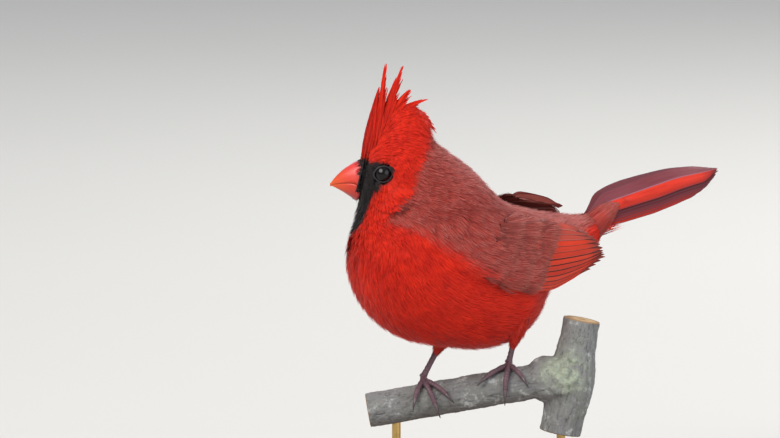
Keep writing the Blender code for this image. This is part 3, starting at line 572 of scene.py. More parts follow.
def layFeathers(ownBed, name, t, a, length, width, turn, rootHeight, tipHeight, fans, lift, markOf, rootLift=None):
    # soft feathers along a bed; turn swings each from straight aft, in radians
    pt, pa = ownBed.read(ownBed.slopeT, t, a), ownBed.read(ownBed.slopeA, t, a)
    normal = unit(ownBed.read(ownBed.normals, t, a))
    aft = unit(pt - np.sum(pt * normal, -1, keepdims=True) * normal)
    beside = np.cross(normal, aft)
    ahead = aft * np.cos(turn)[:, None] + beside * np.sin(turn)[:, None]
    over = np.cross(normal, ahead)
    last = ownBed.t[-1]

    def asSteps(way):
        ee, ff, gg = np.sum(pt * pt, -1), np.sum(pt * pa, -1), np.sum(pa * pa, -1)
        e, g = np.sum(way * pt, -1), np.sum(way * pa, -1)
        flat = np.maximum(ee * gg - ff * ff, 1e-6)
        onT, onA = (gg * e - ff * g) / flat, (ee * g - ff * e) / flat
        # where rows crowd together a step is held back, so that no feather is drawn out
        fastest = np.maximum(np.abs(onT), 1.5 * np.abs(onA))
        held = np.minimum(1.0, ownBed.most / np.maximum(fastest, 1e-6))
        return onT * held, onA * held
    stepT, stepA = asSteps(ahead)
    sideT, sideA = asSteps(over)
    rootLift = np.zeros(len(t)) if rootLift is None else rootLift
    pick = dice.integers(0, len(fans), len(t))
    allPoints, allFaces, allVane, allBake, allMarks, allNormals = [], [], [], [], [], []
    count = 0
    for number, (across, reach, height, tilt, faces) in enumerate(fans):
        own = np.flatnonzero(pick == number)
        if not len(own):
            continue
        r = reach[None] * length[own, None]
        s = across[None] * width[own, None] / 2
        free = t[own, None] + r * stepT[own, None] + s * sideT[own, None]
        tt = np.clip(free, ownBed.t[0], last)
        aa = a[own, None] + r * stepA[own, None] + s * sideA[own, None]
        up = rootHeight[own, None] + (tipHeight - rootHeight)[own, None] * reach[None] ** 1.15
        up = up + height[None] * width[own, None] / 2 + rootLift[own, None]
        out = unit(ownBed.read(ownBed.normals, tt, aa))
        spot = ownBed.read(ownBed.points, tt, aa) + out * (up + ownBed.read(lift, tt, aa))[..., None]
        # past the last row a feather runs straight on
        beyond = np.maximum(free - last, 0) * (t[own, None] > last - 3.0 / ownBed.scale)
        spot = spot + ahead[own, None] * (beyond / np.maximum(np.abs(stepT[own, None]), 1e-3))[..., None]
        shade = out + over[own, None] * tilt[None, :, None]
        shade = unit(shade + ahead[own, None] * (0.22 * reach - 0.08)[None, :, None])
        # a feather takes the colour of the place where most of it shows
        shown = 0.65 * length[own]
        visibleT = np.clip(t[own] + shown * stepT[own], ownBed.t[0], last)
        visibleA = a[own] + shown * stepA[own]
        black, dull = markOf(ownBed.read(ownBed.points, visibleT, visibleA), visibleT, visibleA)
        chance = dice.random(len(own))
        colour = np.stack([black, dull, chance, np.ones(len(own))], -1)
        u, v = ownBed.bakePlace(t[own], a[own])
        bake = np.stack([u[:, None] + 0.0014 * across[None], v[:, None] + 0.003 * (reach[None] - 0.5)], -1)
        vane = np.stack(np.broadcast_arrays(across[None] / 2 + 0.5 + 0 * s, reach[None] + 0 * s), -1)
        allPoints.append(spot.reshape(-1, 3))
        allNormals.append(shade.reshape(-1, 3))
        allFaces.append((faces[None] + (np.arange(len(own)) * len(across))[:, None, None] + count).reshape(-1, 3))
        allVane.append(vane.reshape(-1, 2))
        allBake.append(bake.reshape(-1, 2))
        allMarks.append(np.repeat(colour[:, None], len(across), 1).reshape(-1, 4))
        count += len(own) * len(across)
    made = makeMesh(name, np.concatenate(allPoints), np.concatenate(allFaces),
                    {"OFBake": np.concatenate(allBake), "vane": np.concatenate(allVane)},
                    np.concatenate(allMarks), normals=np.concatenate(allNormals))
    print(name, len(t), "feathers,", len(made.data.polygons), "triangles")
    return made


def evenMarks(black, dull):
    return lambda points, t, a: (np.full(len(t), float(black)), np.full(len(t), float(dull)))


# Head places shared by the eyes, the lids and the coat round them

eye = {"forward": 8.6, "up": 0.8, "deep": 4.5, "radius": 4.5, "clear": 4.3}


def cheekOut(side, forward, up):
    low, high = 0.0, 40.0
    for _ in range(30):
        middle = (low + high) / 2
        if outside(headPoint(forward, side * middle, up)[None])[0] > 0:
            high = middle
        else:
            low = middle
    return low


eyeCentre = {side: headPoint(eye["forward"], side * (cheekOut(side, eye["forward"], eye["up"]) - eye["deep"]),
                             eye["up"]) for side in (1, -1)}
eyeTop = {side: eyeCentre[side] + headWay[:, 1] * side * eye["radius"] for side in (1, -1)}


def eyeDistance(points):
    return np.minimum(*(np.linalg.norm(points - eyeTop[side], axis=-1) for side in (1, -1)))


# Skin under the coat

coat = {
    "depth": ((-0.8, 0.2), (0.0, 0.9), (2.0, 1.5), (5.0, 2.4), (16.0, 2.6)),
    "spacing": ((-0.8, 0.55), (0.0, 0.66), (2.0, 0.86), (4.0, 1.05), (6.0, 1.35), (9.0, 1.6), (16.0, 1.6)),
    "length": ((-0.8, 1.6), (0.0, 2.2), (1.5, 3.2), (3.5, 4.6), (5.0, 6.4), (7.0, 8.4), (10.0, 10.5), (14.0, 11.0),
               (15.0, 14.0), (16.0, 16.0)),
    "ruffle": 0.55,
    "cheekRise": 1.5,
}


def tabled(title, t):
    return np.interp(t, *np.array(coat[title], float).T)


def cheekLift(points):
    # the ear's feathers stand over the neck's, and end at a crease
    head = inHead(points)
    edge = insidePolygon(head[..., 0], head[..., 2], marks["cheek"])
    return coat["cheekRise"] * smooth(edge / 2.0 + 0.3)


coverField = coverLift()
depthField = tabled("depth", bedT)[:, None] + 1.5 * smooth((6.5 - eyeDistance(bedPoints)) / 2.5)
skinPoints = bedPoints + coatBed.normals * (0.75 * coverField - depthField)[..., None]


def feltFinish(name, tint):
    # plumage: scarlet, with the black mask, the dull mantle, a paler fringe, and painted shade towards each
    # feather's root
    finish = Finish(name, Roughness=0.62, Specular_IOR_Level=0.22, Sheen_Weight=0.06, Sheen_Roughness=0.5)
    black, dull, chance = finish.mark()
    reach = finish.vane()[1]
    streak = finish.clouds(0.9, 2.0, 0.6, finish.node("UVMap", {"uv_map": "vane"}), (14.0, 1.2, 1.0))
    patch = finish.clouds(90.0, 2.0)
    bright = finish.mix(chance, tint["brightLow"], tint["brightHigh"])
    bright = finish.mix((patch - 0.35) * 0.9, bright, tint["brightDeep"])
    muted = finish.mix(chance * 0.8 + (streak - 0.4) * 0.9, tint["dullLow"], tint["dullHigh"])
    muted = finish.mix(((reach - 0.66) * 3.0) * (0.25 + 0.8 * streak * chance), muted, tint["frost"])
    colour = finish.mix(dull, bright, muted)
    # painted shade: each feather is painted darker towards its root, where the feathers over it lie
    shade = finish.ramp(reach, (0.0, 0.55), (0.35, 0.80), (0.7, 1.0))
    colour = finish.mix(1.0, colour, shade, "MULTIPLY")
    colour = finish.mix((streak - 0.5) * 1.0, colour, tint["brightDeep"])
    colour = finish.mix(black, colour, finish.mix(streak, tint["blackLow"], tint["blackHigh"]))
    finish.set("Base Color", colour)
    finish.set("Roughness", 0.55 + streak * 0.25)
    finish.bump(streak, 0.25, 0.0002)
    return finish.material


plumage = {
    "brightLow": tone(210, 26, 4), "brightHigh": tone(238, 44, 10), "brightDeep": tone(150, 12, 4),
    "dullLow": tone(146, 42, 36), "dullHigh": tone(188, 78, 68), "frost": tone(196, 142, 134),
    "blackLow": tone(14, 11, 12), "blackHigh": tone(40, 33, 35),
}
covertTint = dict(plumage, dullLow=tone(126, 46, 40), dullHigh=tone(170, 72, 62), frost=tone(184, 116, 104))
coatFinish = feltFinish("scarlet plumage", plumage)
covertFinish = feltFinish("dull wing coverts", covertTint)


def makeSkin():
    front = np.broadcast_to(skinPoints[0].mean(0), skinPoints[:1].shape)
    rear = np.broadcast_to(skinPoints[-1].mean(0), skinPoints[:1].shape)
    points = np.concatenate([front, skinPoints, rear])
    rows, columns = points.shape[:2]
    # the seam's column is doubled, so that the unwrap closes
    points = np.concatenate([points, points[:, :1]], 1)
    rowT = np.concatenate([[bedT[0]], bedT, [bedT[-1]]])
    u, _ = coatBed.bakePlace(rowT[:, None], np.zeros(columns + 1))
    v = 0.02 + 0.96 * np.linspace(0, 1, columns + 1)
    bake = np.stack(np.broadcast_arrays(u, v[None]), -1)
    tt, aa = np.broadcast_arrays(rowT[:, None], np.append(bedA, 2 * math.pi)[None])
    black, dull = coatMarks(points, tt, aa)
    colour = np.stack([black, dull, np.full(black.shape, 0.4), np.ones(black.shape)], -1)
    # the skin reads as 0.3 along a feather, so the plumage's painted root shade darkens it
    vane = np.stack([np.broadcast_to(aa * 9 % 1, aa.shape), np.full(aa.shape, 0.3)], -1)
    skin = makeMesh("skin", points, gridFaces(rows, columns + 1), {"OFBake": bake, "vane": vane}, colour)
    place(skin, coatFinish, "scarlet_plumage", ("neck", "torso", "head", "thigh_left", "thigh_right"))
    print("skin:", len(skin.data.polygons), "faces")


makeSkin()

# Small feathers of the head and body

fans = {
    "face": [barbFan(7, 20 + n, 2, 0.2) for n in range(4)],
    "head": [barbFan(9, 30 + n, 3, 0.22) for n in range(5)],
    "body": [barbFan(14, 40 + n, 3, 0.20) for n in range(6)],
}


def coatWanted():
    forward, out, up = np.moveaxis(bedSide, -1, 0)
    low, high = wingEdges(forward)
    share = (up - low) / (high - low)
    covered = wing["coverTo"] - 3 - 14 * smooth((share - 0.5) / 0.2)
    underWing = (forward < covered) & (forward > -64) & (share > 0.12) & (share < 0.9) & (np.abs(out) > 7)
    return ~underWing & (eyeDistance(bedPoints) > eye["clear"])


def makeCoat():
    t, a = scatter(lambda tt, aa: tabled("spacing", tt), coatWanted(), 90000)
    chance = dice.random(len(t))
    length = tabled("length", t) * (0.85 + 0.3 * chance)
    points = coatBed.read(bedPoints, t, a)
    # feathers in front of an eye stop short of it
    aft = unit(coatBed.read(coatBed.slopeT, t, a))
    for side in (1, -1):
        way = eyeTop[side] - points
        distance = np.linalg.norm(way, axis=-1)
        ahead = np.sum(way * aft, -1) / np.maximum(distance, 1e-6)
        near = (ahead > 0.35) & (distance < length + 4.5)
        length = np.where(near, np.minimum(length, np.maximum(distance - eye["clear"] + 0.3, 1.0)), length)
    crownShare = smooth((t - 0.6) / 1.2) * smooth((4.6 - t) / 1.6) * smooth((np.cos(a) - 0.25) / 0.5)
    length = length * (1 + 0.8 * crownShare)
    width = 0.8 + length * np.interp(t, (0, 4, 8), (0.36, 0.40, 0.50))
    turn = 0.14 * dice.normal(size=len(t))
    root = 0.15 - np.broadcast_to(tabled("depth", t), t.shape)
    tip = 0.05 + coat["ruffle"] * dice.random(len(t)) ** 2 * smooth(t / 5)
    # the crown's feathers rise into the crest
    tip = tip + 1.6 * crownShare * (0.2 + 0.8 * dice.random(len(t)))
    cheek = cheekLift(points) * (t < 6.2)
    zones = (
        ("face coat", t < 2.2, "face"), ("head coat", (t >= 2.2) & (t < 5.0), "head"),
        ("neck coat", (t >= 5.0) & (t < 7.2), "body"), ("breast coat", (t >= 7.2) & (t < 10.0), "body"),
        ("belly coat", (t >= 10.0) & (t < 12.3), "body"), ("rump coat", t >= 12.3, "body"),
    )
    for title, own, kind in zones:
        piece = layFeathers(coatBed, title, t[own], a[own], length[own], width[own], turn[own], root[own], tip[own],
                            fans[kind], coverField, coatMarks, cheek[own])
        place(piece, coatFinish, "crest_plumage" if kind != "body" else "scarlet_plumage")


makeCoat()


brow = {"count": 170, "from": -2.5, "to": 9.0, "widest": 84}


def makeBrow():
    # black bristly feathers that run forward over the root of the bill
    t, a = np.linspace(brow["from"], brow["to"], 24), np.radians(np.linspace(-brow["widest"], brow["widest"], 29))
    tt, aa = np.meshgrid(t, a, indexing="ij")
    q = np.maximum(tt, 0) / bill["length"]
    left = (bill["halfWidth"] * (1 - q ** 1.45) + 0.25) * np.sin(aa)
    up = (bill["top"] * (1 - q ** 1.8) + 0.12) * np.cos(aa)
    points = billBaseAt(left, up) + tt[..., None] * billWay[:, 0]
    facing = left[..., None] * billWay[:, 1] + up[..., None] * billWay[:, 2]
    browBed = Bed(points, t, a, False, facing)
    n = brow["count"]
    aa = np.radians(dice.uniform(-82, 82, n))
    length = (2.2 + 3.0 * np.cos(aa)) * dice.uniform(0.7, 1.15, n)
    rootT, turn = dice.uniform(-2.3, 0.4, n), 0.2 * dice.normal(size=n)
    made = layFeathers(browBed, "brow", rootT, aa, length, 0.7 + 0.3 * length, turn, np.full(n, 0.05),
                       dice.uniform(0.3, 0.9, n), fans["face"], np.zeros(points.shape[:2]), evenMarks(1, 0))
    place(made, coatFinish, "crest_plumage")


makeBrow()


# Small feathers of a sleeve: the thighs and the root of the tail

def sleeve(name, rings, count, lengths, spread, marked, seed, taper=1.0, finish=None):
    # rings run the way the feathers do; lengths are those of the first and last feathers
    rings = np.asarray(rings, float)
    t, a = np.linspace(0, 1, len(rings)), np.arange(rings.shape[1]) * 2 * math.pi / rings.shape[1]
    own = Bed(rings, t, a)
    depth = 1.2
    inner = rings - own.normals * depth
    points, faces = loft(inner)
    # the core reads as 0.3 along a feather, so the plumage's painted root shade darkens it
    vane = np.full((len(points), 2), 0.3)
    finish = finish or coatFinish
    colour = np.tile((marked[0], marked[1], 0.4, 1.0), (len(points), 1))
    core = makeMesh(name + " skin", points, faces, {"OFBake": vane, "vane": vane}, colour)
    place(core, finish, "scarlet_plumage")
    chance = np.random.default_rng(seed)
    tt, aa = chance.random(count) ** taper * 0.94, chance.random(count) * 2 * math.pi
    length = (lengths[0] + (lengths[1] - lengths[0]) * tt) * chance.uniform(0.8, 1.2, count)
    made = layFeathers(own, name, tt, aa, length, 0.8 + length * 0.45, spread * chance.normal(size=count),
                       np.full(count, -depth + 0.1), 0.1 + 0.8 * chance.random(count) ** 2, fans["body"],
                       np.zeros(rings.shape[:2]), evenMarks(*marked))
    place(made, finish, "scarlet_plumage")


# Flight feathers: rows of points along and across each vane

def vaneMesh(name, grids, marksEach, across, corner, share):
    # grids is n by rows by columns by 3; each vane has its own strip of the bake's square
    n, rows, columns = grids.shape[:3]
    faces = gridFaces(rows, columns)
    allFaces = (faces[None] + (np.arange(n) * rows * columns)[:, None, None]).reshape(-1, 4)
    reach = np.linspace(0, 1, rows)
    whole = np.zeros((n, rows, columns))
    vane = np.stack([whole + (np.asarray(across) / 2 + 0.5), whole + reach[None, :, None]], -1)
    wide = share / n
    u = corner[0] + (np.arange(n)[:, None, None] + 0.1 + 0.8 * np.linspace(0, 1, columns)) * wide + whole
    v = corner[1] + 0.3 * reach[None, :, None] + whole
    colour = np.repeat(np.asarray(marksEach)[:, None], rows * columns, 1)
    return makeMesh(name, grids, allFaces, {"OFBake": np.stack([u, v], -1), "vane": vane}, colour)


def joined(name, pieces):
    bpy.ops.object.select_all(action="DESELECT")
    for piece in pieces:
        piece.select_set(True)
    bpy.context.view_layer.objects.active = pieces[0]
    bpy.ops.object.join()
    pieces[0].name = name.replace(" ", "_")
    return pieces[0]


def vaneFinish(name, tint, rimLow, lines=40.0):
    # flight feathers: outer web at -1, shaft at 0, inner web at 1; marks are the outer web's and the inner
    # web's share of the muted colour, and chance; an outer web's share past 1 darkens it further, as painted shadow
    finish = Finish(name, Roughness=0.55, Specular_IOR_Level=0.16)
    mutedOuter, mutedInner, chance = finish.mark()
    across, reach = finish.vane()
    fromShaft = finish.node("Math", {"operation": "ABSOLUTE"}, {0: across})
    barbs = finish.node("Math", {"operation": "SINE"}, {0: (reach * 3.2 - fromShaft * 0.55) * lines * 6.28})
    cloud = finish.clouds(3.0, 3.0, 0.6, finish.node("UVMap", {"uv_map": "OFBake"}), (46.0, 5.0, 1.0))
    outer = finish.mix(chance, tint["outerLow"], tint["outerHigh"])
    outer = finish.mix((cloud - 0.45) * 1.4, outer, tint["outerDeep"])
    outer = finish.mix(mutedOuter, outer, finish.mix(cloud, tint["mutedLow"], tint["mutedHigh"]))
    inner = finish.mix(cloud, tint["innerLow"], tint["innerHigh"])
    inner = finish.mix(mutedInner, inner, finish.mix(cloud, tint["mutedLow"], tint["mutedHigh"]))
    split = finish.ramp(across * 0.5 + 0.5, (0.47, 0.0), (0.53, 1.0))
    colour = finish.mix(split, outer, inner)
    # painted shade: the outer web is painted darker towards its edge, by rimLow
    edgeward = finish.ramp(fromShaft, (0.40, 0.0), (0.95, 1.0))
    colour = finish.mix(edgeward * rimLow * (1.0 - split), colour, tint["outerDeep"])
    # painted shadow: an outer web's mark past 1 darkens it towards the dark inner colour
    colour = finish.mix((mutedOuter - 1.0) * (1.0 - split), colour, tint["innerLow"])
    colour = finish.mix((reach - 0.86) * 7.0 * (0.5 + 0.5 * chance), colour, tint["mutedLow"])
    shaft = finish.ramp(fromShaft, (0.0, 1.0), (0.03, 1.0), (0.06, 0.0))
    colour = finish.mix(shaft * 0.8, colour, tint["shaft"])
    colour = finish.mix((barbs * 0.5 + 0.5) * 0.14, colour, tint["innerLow"])
    # the rim: on the wing its own pale fringe; on the tail a dark line, partly the web's own darker edge and partly
    # painted shadow between the stacked feathers
    rim = finish.ramp(fromShaft, (0.88, 0.0), (0.97, 1.0))
    colour = finish.mix(rim * (rimLow + (0.75 - rimLow) * mutedOuter), colour, tint["rim"])
    finish.set("Base Color", colour)
    finish.set("Roughness", 0.42 + cloud * 0.2)
    finish.bump(barbs * 0.4 + shaft * 2.0, 0.2, 0.00015)
    return finish.material


wingTint = {
    "outerLow": tone(200, 44, 20), "outerHigh": tone(226, 62, 32), "outerDeep": tone(150, 30, 16),
    "innerLow": tone(62, 20, 18), "innerHigh": tone(96, 36, 30), "mutedLow": tone(134, 62, 54),
    "mutedHigh": tone(172, 98, 88), "shaft": tone(60, 20, 18), "rim": tone(196, 148, 138),
}
wingFinish = vaneFinish("wing plumage", wingTint, 0.12)

# flight feathers from the outermost primary up: the outer edge's height at four places aft and its tip
flight = {
    "aft": (-8, -26, -40, -50),
    "edges": (
        (-6.0, -9.3, -9.8, -7.5, -61.5, -3.2), (-4.8, -8.3, -8.6, -6.4, -64.5, -1.4),
        (-3.5, -7.0, -7.1, -4.9, -67.5, 0.2), (-2.0, -5.3, -5.2, -3.2, -69.8, 1.6),
        (-0.2, -3.2, -2.9, -1.2, -69.5, 2.7), (1.8, -1.0, -0.5, 0.9, -68.8, 3.8),
        (3.8, 1.4, 2.0, 3.0, -68.0, 5.0), (5.8, 4.0, 4.6, 5.2, -67.0, 6.5),
        (7.8, 6.6, 7.1, 7.4, -65.0, 8.2), (9.8, 9.2, 9.5, 9.4, -63.0, 9.8),
        (12.0, 11.6, 11.8, 11.3, -61.0, 11.2), (14.2, 14.0, 14.0, 13.2, -58.0, 12.6),
        (16.6, 16.2, 15.8, 14.8, -53.0, 14.2),
    ),
    "top": ((-71, 2.5), (-67, 7.5), (-62, 11.9), (-55, 14.6), (-47, 16.8), (-40, 18.6), (-26, 22.0), (-8, 24.0)),
    "inner": 5.2, "low": 1.6, "step": 0.15, "tertials": 3,
    "lined": 7,    # the feathers below this one leave a dark line open above them
    # the far wing: its top feather's edge, how much longer its tertials are, how far the others are sunk
    "farEdge": (15.0, 13.9, 12.8, -63.0, 10.4), "farLonger": 6.0, "farSunk": 2.6,
    # each row of coverts: roots low and high, tips low and high, how many, how high they stand
    "coverts": (
        ((-15, -5), (-30, 19), (-30.5, -8.8), (-44.5, 17.0), 60, 3.0),
        ((-6, -3), (-20, 21), (-20.5, -7.0), (-34.0, 19.5), 54, 3.2),
        ((4, 2), (-10, 23), (-11.0, -3.5), (-24.0, 22.0), 44, 3.3),
    ),
}


def makeWing(name, side, seed):
    chance = np.random.default_rng(seed)
    rows, outerLanes, innerLanes = 34, 6, 6
    s = np.linspace(0, 1, rows)
    edges = []
    topmost = len(flight["edges"]) - 1
    for number, (a, b, c, d, tipF, tipU) in enumerate(flight["edges"]):
        if side < 0 and number > topmost - flight["tertials"]:
            tipF -= flight["farLonger"]
        if side < 0 and number == topmost:
            b, c, d, tipF, tipU = flight["farEdge"]
        f = -8 + (tipF + 8) * s
        places = np.array([*flight["aft"], tipF], float)
        heights = np.array([a, b, c, d, tipU], float)
        u = np.interp(-f, -places, heights)
        for _ in range(3):
            u[1:-1] = (u[:-2] + u[1:-1] * 2 + u[2:]) / 4
        edges.append((f, u))
    grids, each = [], []
    for number, (f, u) in enumerate(edges):
        tertial = number > topmost - flight["tertials"]
        if number < topmost:
            nextF, nextU = edges[number + 1]
            gap = np.clip(np.interp(-f, -nextF, nextU) - u, 0.5, 3.4)
        else:
            gap = np.full(rows, 3.0 if side > 0 else 3.9)
        end = 0.3 + 0.7 * smooth((1 - s) / (0.18 if not tertial else 0.26)) ** 0.6
        outerWeb = gap * (0.80 if number < flight["lined"] else 0.96) * end
        innerWeb = flight["inner"] * (1.0 if not tertial else 0.8) * end * np.interp(s, (0, 0.2, 1), (0.5, 1, 0.55))
        lanes = [u + outerWeb * q for q in np.linspace(0, 1, outerLanes)]
        lanes += [u + outerWeb + innerWeb * q for q in np.linspace(0, 1, innerLanes + 1)[1:]]
        lanes = np.stack(lanes, 1)
        # the tip is rounded: the edges end before the shaft
        q = np.concatenate([np.linspace(-1, 0, outerLanes), np.linspace(0, 1, innerLanes + 1)[1:]])
        back = 2.2 * np.abs(q)[None] ** 2 * smooth((s - 0.8) / 0.2)[:, None]
        ff = f[:, None] + back + 0.10 * chance.normal(size=(rows, 1)) * smooth((s - 0.9) / 0.1)[:, None]
        ceiling = np.interp(ff, *np.array(flight["top"], float).T)
        if side < 0 and number < topmost:
            ceiling = ceiling - flight["farSunk"]
        lanes = np.where(lanes > ceiling, ceiling + 0.1 * (lanes - ceiling), lanes)
        height = flight["low"] + flight["step"] * number
        rise = 0.35 + (height - 0.35) * smooth(s / 0.35)
        camber = 0.05 * (1 - q ** 2) + 0.05 * np.exp(-(q / 0.12) ** 2) - 0.3 * np.maximum(q, 0)
        grids.append(wingPlace(side, ff, lanes, rise[:, None] + camber[None] + 0.3))
        muted = (0.55, 0.4) if tertial else (0.05 + 0.12 * chance.random(), 0.0)
        if side < 0 and number >= flight["lined"]:
            muted = (1.0, 1.0 if number > flight["lined"] + 1 else 0.6)
        each.append((*muted, chance.random(), 1.0))
    across = q[None, None]
    corner = (0.02, 0.02 if side > 0 else 0.5)
    made = vaneMesh("fine " + name, np.array(grids), each, across, corner, 0.9)
    place(made, wingFinish, "wing_plumage", (name,))
    # coverts: greater, median and lesser rows, each over the one behind it
    own = wingBeds[side]
    aft, up, length, height, turn = [], [], [], [], []
    for row, (rootLow, rootHigh, tipLow, tipHigh, n, stands) in enumerate(flight["coverts"]):
        for k in (np.arange(n) + 0.5) / n:
            scattered = chance.normal(size=2) * (1.6 if row else 0.5, 0.4)
            tipAt = np.array(tipLow) * (1 - k) + np.array(tipHigh) * k + scattered
            tipAt[0] += 1.2 * math.sin(math.pi * k)
            root = np.array(rootLow) * (1 - k) + np.array(rootHigh) * k + chance.normal(size=2) * (1.2, 0.5)
            aft.append(-root[0])
            up.append(root[1])
            length.append(float(np.linalg.norm(tipAt - root)))
            height.append(stands + 1.8 * k + 0.3 * chance.random())
            turn.append(side * math.atan2(tipAt[1] - root[1], root[0] - tipAt[0]))
    aft, up, length, height, turn = (np.array(v) for v in (aft, up, length, height, turn))
    covertFans = [barbFan(20, 60 + n, 3, 0.10, 1.0, 0.34) for n in range(4)]
    coverts = layFeathers(own, name.replace("_", " ") + " coverts", aft, up, length, 1.2 + length * 0.46, turn,
                          height - 1.6, height, covertFans, np.zeros(own.points.shape[:2]), evenMarks(0, 1))
    place(coverts, covertFinish, "wing_plumage")
    print(name, len(made.data.polygons), "faces")


makeWing("wing_left", 1, 5)
makeWing("wing_right", -1, 6)


# Tail

tail = {
    "each": 6, "step": 0.46, "lift": (5.0, 4.2), "droop": 4.0,
    # half a feather's width at shares of its length, and how dull each near outer web is painted: darkest just under
    # the top feather as painted shadow, and past 1 darkened towards the dark inner colour
    "halfAt": (0, 0.18, 0.5, 0.7, 0.86, 0.95, 0.985, 1.0), "half": (2.6, 5.6, 6.4, 5.8, 4.8, 3.4, 2.0, 0.6),
    "outer": (0.0, 1.75, 1.45, 1.0, 0.5, 0.0),
}
# the tail's pale lilac-grey shaft is a painted highlight along it; outerDeep also serves the painted shade towards
# each web's edge, and the dark rim the painted shadow between the stacked feathers
tailTint = {
    "outerLow": tone(204, 46, 28), "outerHigh": tone(216, 56, 38), "outerDeep": tone(120, 26, 20),
    "innerLow": tone(58, 20, 20), "innerHigh": tone(92, 38, 38), "mutedLow": tone(104, 44, 50),
    "mutedHigh": tone(136, 72, 80), "shaft": tone(140, 104, 120), "rim": tone(92, 56, 66),
}
# 0.6: the tail's webs take strong painted shade towards their edges and dark painted lines between them
tailFinish = vaneFinish("tail plumage", tailTint, 0.6)
tailCentre = sectionPlanes(np.array([16.0]))[0][0]
tailWay = turned(form["bodyYaw"], -form["tailRise"], form["tailRoll"])
tailWay = np.stack([-tailWay[:, 0], tailWay[:, 1], tailWay[:, 2]], 1)
tailLevelUp = turned(form["bodyYaw"], -form["tailRise"])[:, 2]


def makeTail():
    chance = np.random.default_rng(9)
    rows, columns = 30, 15
    s, lane = np.linspace(0, 1, rows)[:, None], np.linspace(-1, 1, columns)
    grids, each = [], []
    for number in range(tail["each"]):
        for side in (1, -1):
            length = form["tailLength"] - (0.45 if side > 0 else 0.75) * number ** 2 - (0.0 if side > 0 else 2.5)
            layer = -tail["step"] * (number + (0 if side > 0 else 1.5))
            half = np.interp(s, tail["halfAt"], tail["half"])
            aft = s * length
            if side > 0:
                beside = number * (0.6 + 0.52 * smooth(aft / 14))
            else:
                beside = -0.4 * number - (0.9 + 0.35 * number) * smooth(aft / 20)
            lift = tail["lift"][0] + tail["lift"][1] * smooth(aft / 12)
            droop = tail["droop"] * smooth((aft - 45) / 27)
            tilt = math.radians(-3.0 if side > 0 else 6.0)
            out, up = lane * math.cos(tilt), (lane if side > 0 else np.minimum(lane, 0)) * math.sin(tilt)
            # each web sinks from its shaft, and the tip is rounded
            raised = layer - droop + half * up + 0.7 * (1 - np.abs(lane) ** 1.5) * (0.3 + 0.7 * s)
            raised = raised + 0.14 * np.exp(-(lane / 0.08) ** 2) - 0.35
            back = -np.abs(lane) ** 2 * 2.6 * smooth((s - 0.75) / 0.25)
            ragged = 0.35 * chance.normal(size=columns) * smooth((s - 0.92) / 0.08)
            spot = np.stack(np.broadcast_arrays(aft + 1.0 + back + ragged, beside + half * out, raised), -1)
            grid = tailCentre + tailLevelUp * lift[..., None] + spot @ tailWay.T
            # the near side's outer webs face down the picture, the far side's up it
            grids.append(grid[:, ::-1] if side > 0 else grid)
            # the near outer webs are painted darker the closer they lie under the top feather: painted shadow
            if side > 0:
                muted = (tail["outer"][number], 0.15 if number else 1.0)
            else:
                muted = (1.0, 0.8)
            each.append((*muted, chance.random(), 1.0))
    made = vaneMesh("tail feathers", np.array(grids), each, lane[None, None], (0.02, 0.02), 0.96)
    place(made, tailFinish, "tail_plumage", ("tail",))
    print("tail:", len(made.data.polygons), "faces")


makeTail()


tailRoot = {
    # how far aft of the body's end each ring stands, its size and its rise
    "rings": ((-1.5, 0.95, 0), (3.0, 0.84, 0.9), (8.0, 0.68, 2.6), (13.0, 0.48, 4.0), (17.5, 0.18, 4.8)),
    "count": 500, "lengths": (12.0, 8.5),
}


def makeTailRoot():
    aft = np.cross(*(v[0] for v in sectionPlanes(np.array([16.0]))[:0:-1]))
    outline = bedPoints[-1, ::4]
    middle = outline.mean(0)
    rings = [middle + (outline - middle) * scale + aft * back + tailLevelUp * rise
             for back, scale, rise in tailRoot["rings"]]
    sleeve("tail coverts", rings, tailRoot["count"], tailRoot["lengths"], 0.10, (0.0, 0.9), 33, 1.3)


makeTailRoot()


# Crest

crest = {
    # forehead to nape: root forward, tip forward, tip up, in the head's frame
    "rows": ((17.0, 14.8, 14.5), (15.0, 11.0, 23.0), (12.5, 6.6, 36.5), (10.2, 1.8, 49.2), (8.0, -1.0, 46.0),
             (5.0, -5.8, 47.8), (1.0, -7.6, 37.0), (-3.5, -15.0, 31.4), (-8.0, -14.0, 23.0), (-12.0, -18.5, 15.0)),
    "count": 640, "half": 0.60, "spread": 4.4, "barbs": 13, "spikes": (2.2, 3.1, 5.05, 6.1, 7.05, 8.0, 9.0),
}


def crownHeights(forward, left):
    low, high = np.zeros(len(forward)), np.full(len(forward), 60.0)
    for _ in range(24):
        middle = (low + high) / 2
        out = outside(headPoint(forward, left, middle)) > 0
        high, low = np.where(out, middle, high), np.where(out, low, middle)
    return low


